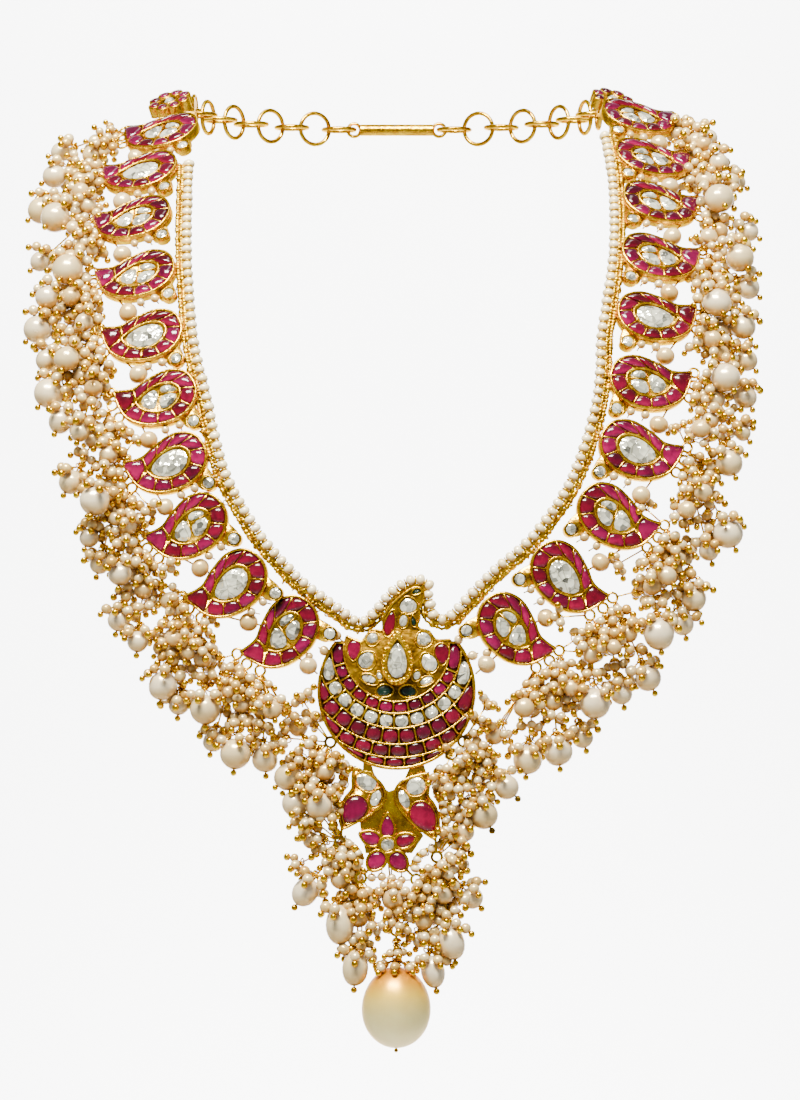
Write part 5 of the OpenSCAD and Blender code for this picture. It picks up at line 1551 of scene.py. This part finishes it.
def build_fringe():
    fringe = Fringe(random.Random(SEEDS["fringe"]))
    for side, word in SIDES.items():
        fringe.start(side)
        links = Batch()
        hang_rings(fringe.wires, side)
        hang_link_pearls(fringe, links)
        for f in FRINGE[side]:
            top, big = strand_top(side, f), strand_pearl(side, f)
            hang_strand(fringe, top, big, f[5], f[5], has_middle(top, big, f[5]))
        hang_more(fringe)
        hang_bunches(fringe)
        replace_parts(fringe.bigs.make(f"large_pearls_{word}", CREAM, "cream_pearl"), f"fringe_pearls_{word}")
        fringe.mids.make(f"middle_pearls_{word}", PEACH, "peach_pearl")
        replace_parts(links.make(f"link_pearls_fine_{word}", PEACH, "peach_pearl"), f"link_pearls_{word}")
    fringe.start(0)
    for ring_x, ring_y, _, _, x, y, forward, width, height, middle in PENDANT_STRANDS:
        away = unit(vec(x - ring_x, y - ring_y, 0))
        top = PENDANT(vec(ring_x, ring_y, STRAND_Z) + RING_R * away)
        big = PENDANT(vec(x, y, STRAND_Z + forward))
        hang_strand(fringe, top, big, width, height, middle == 1)
    hang_centre(fringe)
    hang_more(fringe)
    hang_bunches(fringe)
    hang_beside(fringe)
    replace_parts(fringe.bigs.make("pendant_drops", CREAM, "cream_pearl"), "pendant_pearls")
    fringe.mids.make("pendant_middle_pearls", PEACH, "peach_pearl")
    fringe.settle()
    fringe.finish()
    for side, word in CARRIERS.items():
        seeds, wires = fringe.made[side]
        seeds.make(f"small_pearls_{word}", SEED, "seed_pearl")
        wires.make(f"wires_{word}", GOLD_WIRE, "gold")


def build_pendant():
    rng = random.Random(SEEDS["pendant"])
    gold, hammered, rubies, wine, polkis, emeralds = (Batch() for _ in range(6))
    set_crescent(gold, rubies, wine, polkis, emeralds, rng)
    set_pear(gold, hammered, polkis, rng)
    set_lower(gold, rubies, polkis, rng)
    gold.make("pendant_gold_work", GOLD, "gold")
    hammered.make("pear_setting", HAMMERED, "gold")
    wine.make("crescent_cabochons", WINE, "ruby")
    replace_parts(rubies.make("pendant_cabochons", RUBY, "ruby"), "pendant_rubies")
    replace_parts(polkis.make("pendant_cut_stones", POLKI, "polki"), "pendant_polkis", "crescent_polkis")
    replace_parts(emeralds.make("pendant_green_stones", EMERALD, "emerald"), "pendant_emeralds")
    gold, rubies, polkis = Batch(), Batch(), Batch()
    for side in SIDES:
        set_top_flower(gold, rubies, polkis, side, rng)
    gold.make("top_flower_rims", GOLD, "gold")
    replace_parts(rubies.make("top_flower_cabochons", RUBY, "ruby"), "flower_rubies")
    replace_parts(polkis.make("top_flower_stones", POLKI, "polki"), "flower_polkis")


def build_golden_pearl():
    """The large pearl of the drop, narrower at its top, with a bunch of small pearls over it."""
    rng = random.Random(SEEDS["drop"])
    low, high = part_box("golden_pearl")
    middle = np.array((low + high) / 2) / MM
    size = np.array(high - low) / MM
    ball, faces = ball_shape(64, 40)
    narrow = 1 - 0.045 * (ball[:, 2] + 0.15)
    ball = ball * np.column_stack([narrow, narrow, np.ones(len(ball))])
    ball[:, :2] /= np.abs(ball[:, :2]).max()
    batch, pearls, wires = Batch(), Batch(), Batch()
    add_ball(batch, (ball, faces), middle, size, None, 0.006, rng)
    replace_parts(batch.make("south_sea_pearl", GOLDEN, "golden_pearl", "golden_drop"), "golden_pearl")
    root = middle + vec(0, 0, size[2] / 2 + 1.9)

    def over(flat, low_turn, d):
        """The middle of a ball of diameter d that lies on the pearl, low_turn down from its top."""
        return (middle + flat * math.sin(low_turn) * (size[0] + d) / 2
                + vec(0, 0, math.cos(low_turn) * (size[2] + d) / 2))

    def hang(place, d, start, bead, wire):
        add_ball(wires, DROP_BALL, bead, d)
        add_tube(wires, [start, place, bead], wire, 5)

    for k in range(8):
        a = 2 * math.pi * k / 8 + rng.uniform(-0.15, 0.15)
        flat = vec(math.cos(a), math.sin(a), 0)
        low_turn = math.radians(rng.uniform(23, 29))
        d = rng.uniform(2.4, 2.8)
        place = over(flat, low_turn, d)
        add_ball(pearls, SEED_BALL, place, (d, d, d * 0.93), unit(place - root), 0.04, rng)
        bead = over(flat, low_turn + math.radians(8), 1.6)
        hang(place, rng.uniform(1.6, 1.9), root, bead, THIN_WIRE)
    tangle(wires, root, vec(0, 0, 1), rng, 7)
    for k in range(5):
        a = 2 * math.pi * k / 5 + rng.uniform(-0.2, 0.2)
        d = rng.uniform(2.2, 2.5)
        place = root + vec(1.9 * math.cos(a), 1.9 * math.sin(a), rng.uniform(1.2, 2.0))
        add_ball(pearls, SEED_BALL, place, (d, d, d * 0.93), place - root, 0.04, rng)
        bead = place + unit(place - root + vec(0, 0, -2.4)) * (d / 2 + 0.6)
        hang(place, rng.uniform(1.5, 1.8), root + vec(0, 0, 2.2), bead, HAIR_WIRE)
    tangle(wires, root + vec(0, 0, 3.2), vec(0, 0, 1), rng, 6)
    tangle(wires, root + vec(0, 0, 4.6), vec(0, 0, 1), rng, 4)
    pearls.make("crown_pearls", SEED, "seed_pearl", "golden_drop")
    wires.make("crown_wires", GOLD_WIRE, "gold", "golden_drop")


def paint_cad():
    """The carried over CAD nodes: gold, with dark gold as painted shade between the stones of the pendant."""
    for name, node in NODES.items():
        if node.hide_render:
            continue
        # The crescent's node gets the dark gold of painted shade.
        material = PAINTED_SHADE_GOLD if name == "pendant_crescent" else GOLD
        node.data.materials.clear()
        node.data.materials.append(material)


def area_light(name, place, target, size, power, colour):
    data = bpy.data.lights.new(name, "AREA")
    data.shape = "RECTANGLE"
    data.size, data.size_y = size
    data.energy = power
    data.color = colour
    light = bpy.data.objects.new(name, data)
    light.location = place
    look = bpy.data.objects.new(name + "_aim", None)
    look.location = target
    for o in (light, look):
        bpy.context.scene.collection.objects.link(o)
    track = light.constraints.new("TRACK_TO")
    track.target = look
    track.track_axis = "TRACK_NEGATIVE_Z"
    track.up_axis = "UP_Y"


def build_stage():
    """A pale floor that sweeps up behind, and soft lights."""
    floor_z, back_y, radius, reach = -1.1, 2.4, 1.2, 6
    profile = [(-3.0, floor_z), (back_y - radius, floor_z)]
    for a in np.linspace(0, math.pi / 2, 12)[1:]:
        profile.append((back_y - radius + radius * math.sin(a), floor_z + radius - radius * math.cos(a)))
    profile.append((back_y, 4.0))
    points = [(x, y, z) for y, z in profile for x in (-reach, reach)]
    faces = [[2 * i, 2 * i + 1, 2 * i + 3, 2 * i + 2] for i in range(len(profile) - 1)]
    mesh = bpy.data.meshes.new("floor")
    mesh.from_pydata(points, [], faces)
    mesh.polygons.foreach_set("use_smooth", [True] * len(faces))
    mesh.materials.append(FLOOR)
    floor = bpy.data.objects.new("floor", mesh)
    bpy.context.scene.collection.objects.link(floor)
    world = bpy.data.worlds.new("studio")
    bpy.context.scene.world = world
    world.use_nodes = True
    fill(world.node_tree.nodes["Background"], {"Color": (0.95, 0.97, 1.0, 1), "Strength": 0.37})
    for light in LIGHTS:
        area_light(*light)


def build_camera():
    """The camera at the photo's place."""
    data = bpy.data.cameras.new("photo_camera")
    data.lens = 138.5
    data.sensor_width = 36
    data.clip_start, data.clip_end = 0.05, 20
    camera = bpy.data.objects.new("photo_camera", data)
    camera.location = CAMERA_PLACE
    camera.rotation_euler = (math.radians(90), 0, 0)
    bpy.context.scene.collection.objects.link(camera)
    bpy.context.scene.camera = camera


build_links()
build_strings()
build_fringe()
build_pendant()
build_golden_pearl()
paint_cad()
build_stage()
build_camera()
